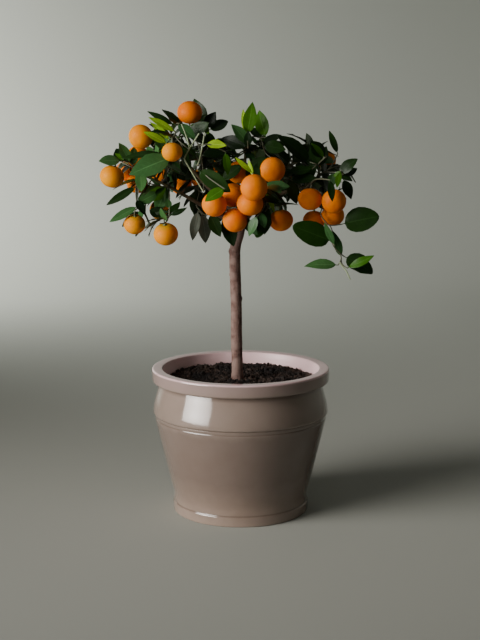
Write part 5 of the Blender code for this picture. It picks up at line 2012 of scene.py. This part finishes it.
def make_leaf_look(tint, low, high, under):
    """The finish of one tint of leaf."""
    made, tree, shader = start_material("leaf_" + tint, 0.3)
    shader.inputs["Specular IOR Level"].default_value = 0.16
    shade = put(tree, "ShaderNodeAttribute", attribute_name="shade").outputs["Fac"]
    upper = put(tree, "ShaderNodeAttribute", attribute_name="upper").outputs["Fac"]
    tone = blended(tree, shade, low, high)
    lighter = put(tree, "ShaderNodeHueSaturation", {"Color": tone, "Value": 1.3}).outputs[0]
    tone = clouds_in(tree, tone, lighter, 0.009, 0.2)["Colour"]
    veins = put(tree, "ShaderNodeGroup", node_tree=VEINS).outputs
    pale = put(tree, "ShaderNodeHueSaturation", {"Color": tone, "Value": 2.3, "Saturation": 0.9})
    marks = maths(tree, "MAXIMUM", veins["Midrib"], maths(tree, "MULTIPLY", veins["Side Veins"], 0.3))
    tone = blended(tree, maths(tree, "MULTIPLY", marks, 0.5), tone, pale.outputs[0])
    tree.links.new(blended(tree, upper, under, tone), shader.inputs["Base Color"])
    tree.links.new(mapped(tree, upper, 0.0, 1.0, 0.55, 0.34), shader.inputs["Roughness"])
    height = maths(tree, "ADD", grain_in(tree, 0.0022), maths(tree, "MULTIPLY", marks, -0.8))
    bump_in(tree, shader, height, 0.35, 0.0003)
    return made


# %% Leaves
TWISTS = 0.5
WAVES = 0.12
SLENDER = (-0.14, 0.12)
# How full the outline is at its base, and how much more it narrows to the tip.
LEAF_OUTLINES = {"dark": (0.60, 0.28), "wide": (0.48, 0.02)}


def leaves_of(tint):
    """All the leaves of one tint."""
    return [leaf for grown in GROWN.values() for leaf in grown["leaves"] if leaf["tint"] == tint]


def make_leaves(tint, rng):
    """The leaves of one tint as one piece."""
    leaves = leaves_of(tint)
    mesh = bpy.data.meshes.new("leaves_" + tint)
    mesh.from_pydata([tuple(leaf["root"] * MM) for leaf in leaves], [], [])
    columns = {
        "root": [leaf["root"] * MM for leaf in leaves],
        "way": [leaf["way"] for leaf in leaves],
        "side": [leaf["side"] for leaf in leaves],
        "face": [leaf["face"] for leaf in leaves],
        "size": [Vector((leaf["length"] * MM, leaf["width"] * MM, leaf["curl"])) for leaf in leaves],
        "bend": [
            Vector((rng.uniform(-TWISTS, TWISTS), rng.uniform(0, WAVES), rng.uniform(0, 6.28)))
            for _ in leaves
        ],
    }
    for name, rows in columns.items():
        flat = [x for row in rows for x in row]
        mesh.attributes.new(name, "FLOAT_VECTOR", "POINT").data.foreach_set("vector", flat)
    for name, low, high in (("shade", 0.0, 1.0), ("slender", *SLENDER)):
        values = [rng.uniform(low, high) for _ in leaves]
        mesh.attributes.new(name, "FLOAT", "POINT").data.foreach_set("value", values)
    piece = add_object("leaves_" + tint, mesh)
    fullness, point = LEAF_OUTLINES.get(tint, LEAF_OUTLINES["dark"])
    look = make_leaf_look(tint, *LEAF_TINTS[tint])
    grow_with(piece, BLADES, Form=leaf_form, Finish=look, Fullness=fullness, Point=point)
    finish_piece(piece, FOLIAGE_NODES)
    return piece


leaf_draws = random.Random(5)
leaf_pieces = {tint: make_leaves(tint, leaf_draws) for tint in LEAF_TINTS}
leaf_form.hide_render = True

# %% [markdown]
# ## Mandarins
# A mandarin is a squat ball: dimpled where its stalk sits, with shallow lobes running out of the
# dimple, and flatter below. A turned outline with the lobes as a small wave makes it; a plain
# sphere would look like a bead. One form serves all, set on points at each fruit's place, turned
# along its stalk and sized to its width. The green star of the calyx is a second form on the same
# points, so that it is a piece of its own.

# %% Fruit forms
FRUIT_STEPS = 36
FRUIT_ROWS = 22
FRUIT_WIDTH = 1.03
FRUIT_SQUAT = 0.93
DIMPLE_DEPTH = 0.075
LOBES = 9


def make_fruit_form():
    """A mandarin one unit in radius, its stalk end up."""
    made = bmesh.new()
    rows = []
    for i in range(1, FRUIT_ROWS):
        down = math.pi * i / FRUIT_ROWS
        ring = []
        for k in range(FRUIT_STEPS):
            turn = 2 * math.pi * k / FRUIT_STEPS
            lobe = 1 + 0.018 * math.cos(LOBES * turn) * math.exp(-((down / 0.7) ** 2))
            reach = math.sin(down) * lobe * FRUIT_WIDTH
            ring.append(made.verts.new((reach * math.cos(turn), reach * math.sin(turn), fruit_height(down))))
        rows.append(ring)
    for low, high in zip(rows, rows[1:]):
        for k in range(FRUIT_STEPS):
            on = (k + 1) % FRUIT_STEPS
            made.faces.new((low[k], high[k], high[on], low[on]))
    top = made.verts.new((0, 0, fruit_height(0)))
    foot = made.verts.new((0, 0, fruit_height(math.pi)))
    for k in range(FRUIT_STEPS):
        on = (k + 1) % FRUIT_STEPS
        made.faces.new((top, rows[0][k], rows[0][on]))
        made.faces.new((foot, rows[-1][on], rows[-1][k]))
    form = from_bmesh("fruit_form", made)
    form.data.shade_smooth()
    heights = [vert.co.z for vert in form.data.vertices]
    form.data.attributes.new("stalk_end", "FLOAT", "POINT").data.foreach_set("value", heights)
    return form


def fruit_height(down):
    """The height of the fruit's skin at an angle down from its stalk."""
    dimple = DIMPLE_DEPTH * math.exp(-((down / 0.3) ** 2))
    navel = 0.035 * math.exp(-(((math.pi - down) / 0.16) ** 2))
    return FRUIT_SQUAT * math.cos(down) - dimple + navel


def make_calyx_form():
    """The calyx: a five-pointed star that lies in the dimple, with the stalk's thick end on it."""
    made = bmesh.new()
    floor_at = FRUIT_SQUAT - DIMPLE_DEPTH
    rings = []
    for height, reach in ((-0.03, 1.0), (0.035, 0.96), (0.075, 0.42), (0.16, 0.36)):
        ring = []
        for k in range(20):
            turn = 2 * math.pi * k / 20
            star = 0.17 + 0.075 * math.cos(5 * turn) if reach > 0.9 else 0.17
            out = star * reach
            ring.append(made.verts.new((out * math.cos(turn), out * math.sin(turn), floor_at + height)))
        rings.append(ring)
    for low, high in zip(rings, rings[1:]):
        for k in range(20):
            on = (k + 1) % 20
            made.faces.new((low[k], low[on], high[on], high[k]))
    made.faces.new(rings[0][::-1])
    made.faces.new(rings[-1])
    form = from_bmesh("calyx_form", made)
    form.data.shade_smooth()
    return form


fruit_form, calyx_form = make_fruit_form(), make_calyx_form()
print("the fruit form has", len(fruit_form.data.polygons), "faces")


# %% Fruit tree
def make_set_on_stalks():
    """Sets a form on points, its Z axis along the stalk, turned about it and sized to the fruit."""
    tree, given, result = start_group(
        "set_on_stalks",
        "GeometryNodeTree",
        (
            ("Geometry", "NodeSocketGeometry", None),
            ("Form", "NodeSocketObject", None),
            ("Finish", "NodeSocketMaterial", None),
            ("Oversize", "NodeSocketFloat", 1.0),
        ),
        (("Geometry", "NodeSocketGeometry"),),
    )
    form = put(tree, "GeometryNodeObjectInfo", {"Object": given["Form"]}).outputs["Geometry"]
    turned = put(
        tree,
        "FunctionNodeAxesToRotation",
        {"Primary Axis": read_attribute(tree, "stalk"), "Secondary Axis": read_attribute(tree, "spin")},
        primary_axis="Z",
        secondary_axis="X",
    ).outputs["Rotation"]
    half = maths(tree, "MULTIPLY", read_attribute(tree, "across", "FLOAT"), 0.5)
    scale = put(tree, "ShaderNodeCombineXYZ")
    for axis in ("X", "Y", "Z"):
        tree.links.new(maths(tree, "MULTIPLY", half, given["Oversize"]), scale.inputs[axis])
    laid = put(
        tree,
        "GeometryNodeInstanceOnPoints",
        {
            "Points": given["Geometry"],
            "Instance": form,
            "Rotation": turned,
            "Scale": scale.outputs["Vector"],
        },
    ).outputs["Instances"]
    plain = put(tree, "GeometryNodeRealizeInstances", {"Geometry": laid}).outputs["Geometry"]
    dressed = put(tree, "GeometryNodeSetMaterial", {"Geometry": plain, "Material": given["Finish"]})
    tree.links.new(dressed.outputs["Geometry"], result["Geometry"])
    return tree


SET_ON_STALKS = make_set_on_stalks()

# %% [markdown]
# Peel is orange with a waxy, uneven gloss, because it is full of small oil glands. They show as
# fine pits: a bump from cells a good millimetre across. A slow cloud shifts the colour between
# orange and golden from fruit to fruit. Fruit that is less ripe is a piece of its own, yellower,
# with a green cast round its stalk.


# %% Fruit finish
def make_peel(name, deep, light, green):
    """Mandarin peel."""
    made, tree, shader = start_material(name, 0.4)
    shader.inputs["Specular IOR Level"].default_value = 0.08
    tone = clouds_in(tree, deep, light, 0.022, 0.22)["Colour"]
    end = put(tree, "ShaderNodeAttribute", attribute_name="stalk_end").outputs["Fac"]
    share = mapped(tree, end, 0.62, 0.95, 0.0, 0.75)
    tree.links.new(blended(tree, share, tone, green), shader.inputs["Base Color"])
    place = put(tree, "ShaderNodeTexCoord").outputs["Object"]
    cells = put(tree, "ShaderNodeTexVoronoi", {"Vector": place, "Scale": 760.0}, feature="F1")
    pits = mapped(tree, cells.outputs["Distance"], 0.0, 0.45)
    bump_in(tree, shader, pits, 0.35, 0.00025)
    return made


def make_calyx_look():
    """The dull green of calyx and stalk."""
    made, tree, shader = start_material("calyx_green", 0.6)
    tone = clouds_in(tree, (0.115, 0.165, 0.050), (0.060, 0.085, 0.030), 0.002, 0.2)["Colour"]
    tree.links.new(tone, shader.inputs["Base Color"])
    bump_in(tree, shader, grain_in(tree, 0.0005), 0.4, 0.0002)
    return made


# %% Fruit
GOLDEN_LEFT_OF = -93.0
PEELS = {
    "ripe": ((0.700, 0.130, 0.000), (0.800, 0.225, 0.000), (0.560, 0.200, 0.002)),
    "golden": ((0.740, 0.215, 0.000), (0.800, 0.310, 0.000), (0.400, 0.270, 0.006)),
}


def fruit_points(name, fruit, rng):
    """A piece with one point at each fruit, carrying its stalk's way, a spin and its width."""
    mesh = bpy.data.meshes.new(name)
    mesh.from_pydata([tuple(f["centre"] * MM) for f in fruit], [], [])
    ways = [x for f in fruit for x in f["way"]]
    spins = [rng.uniform(-1, 1) for _ in range(3 * len(fruit))]
    widths = [f["across"] * MM for f in fruit]
    mesh.attributes.new("stalk", "FLOAT_VECTOR", "POINT").data.foreach_set("vector", ways)
    mesh.attributes.new("spin", "FLOAT_VECTOR", "POINT").data.foreach_set("vector", spins)
    mesh.attributes.new("across", "FLOAT", "POINT").data.foreach_set("value", widths)
    return add_object(name, mesh)


def make_fruit():
    """The mandarins, the riper and the less ripe ones apart, and all their calyxes."""
    rng = random.Random(9)
    fruit = [f for grown in GROWN.values() for f in grown["fruit"]]
    golden = [f for f in fruit if f["centre"].x < GOLDEN_LEFT_OF and f["centre"].y < 0]
    ripe = [f for f in fruit if f not in golden]
    for name, some in (("ripe", ripe), ("golden", golden)):
        piece = fruit_points("mandarins_" + name, some, rng)
        grow_with(piece, SET_ON_STALKS, Form=fruit_form, Finish=make_peel("peel_" + name, *PEELS[name]))
        finish_piece(piece, FOLIAGE_NODES)
    stars = fruit_points("calyxes", fruit, rng)
    grow_with(stars, SET_ON_STALKS, Form=calyx_form, Finish=make_calyx_look())
    finish_piece(stars, FOLIAGE_NODES)
    return len(fruit)


print("the tree bears", make_fruit(), "mandarins")
fruit_form.hide_render = True
calyx_form.hide_render = True

# %% [markdown]
# ## Finish
# The forms that the trees copied are working pieces and are taken out.

# %% Remove the forms
for form in (pebble, leaf_form, fruit_form, calyx_form):
    bpy.data.objects.remove(form)


def rows(box):
    """A box as plain lists of numbers."""
    return [[round(x, 5) for x in corner] for corner in box]
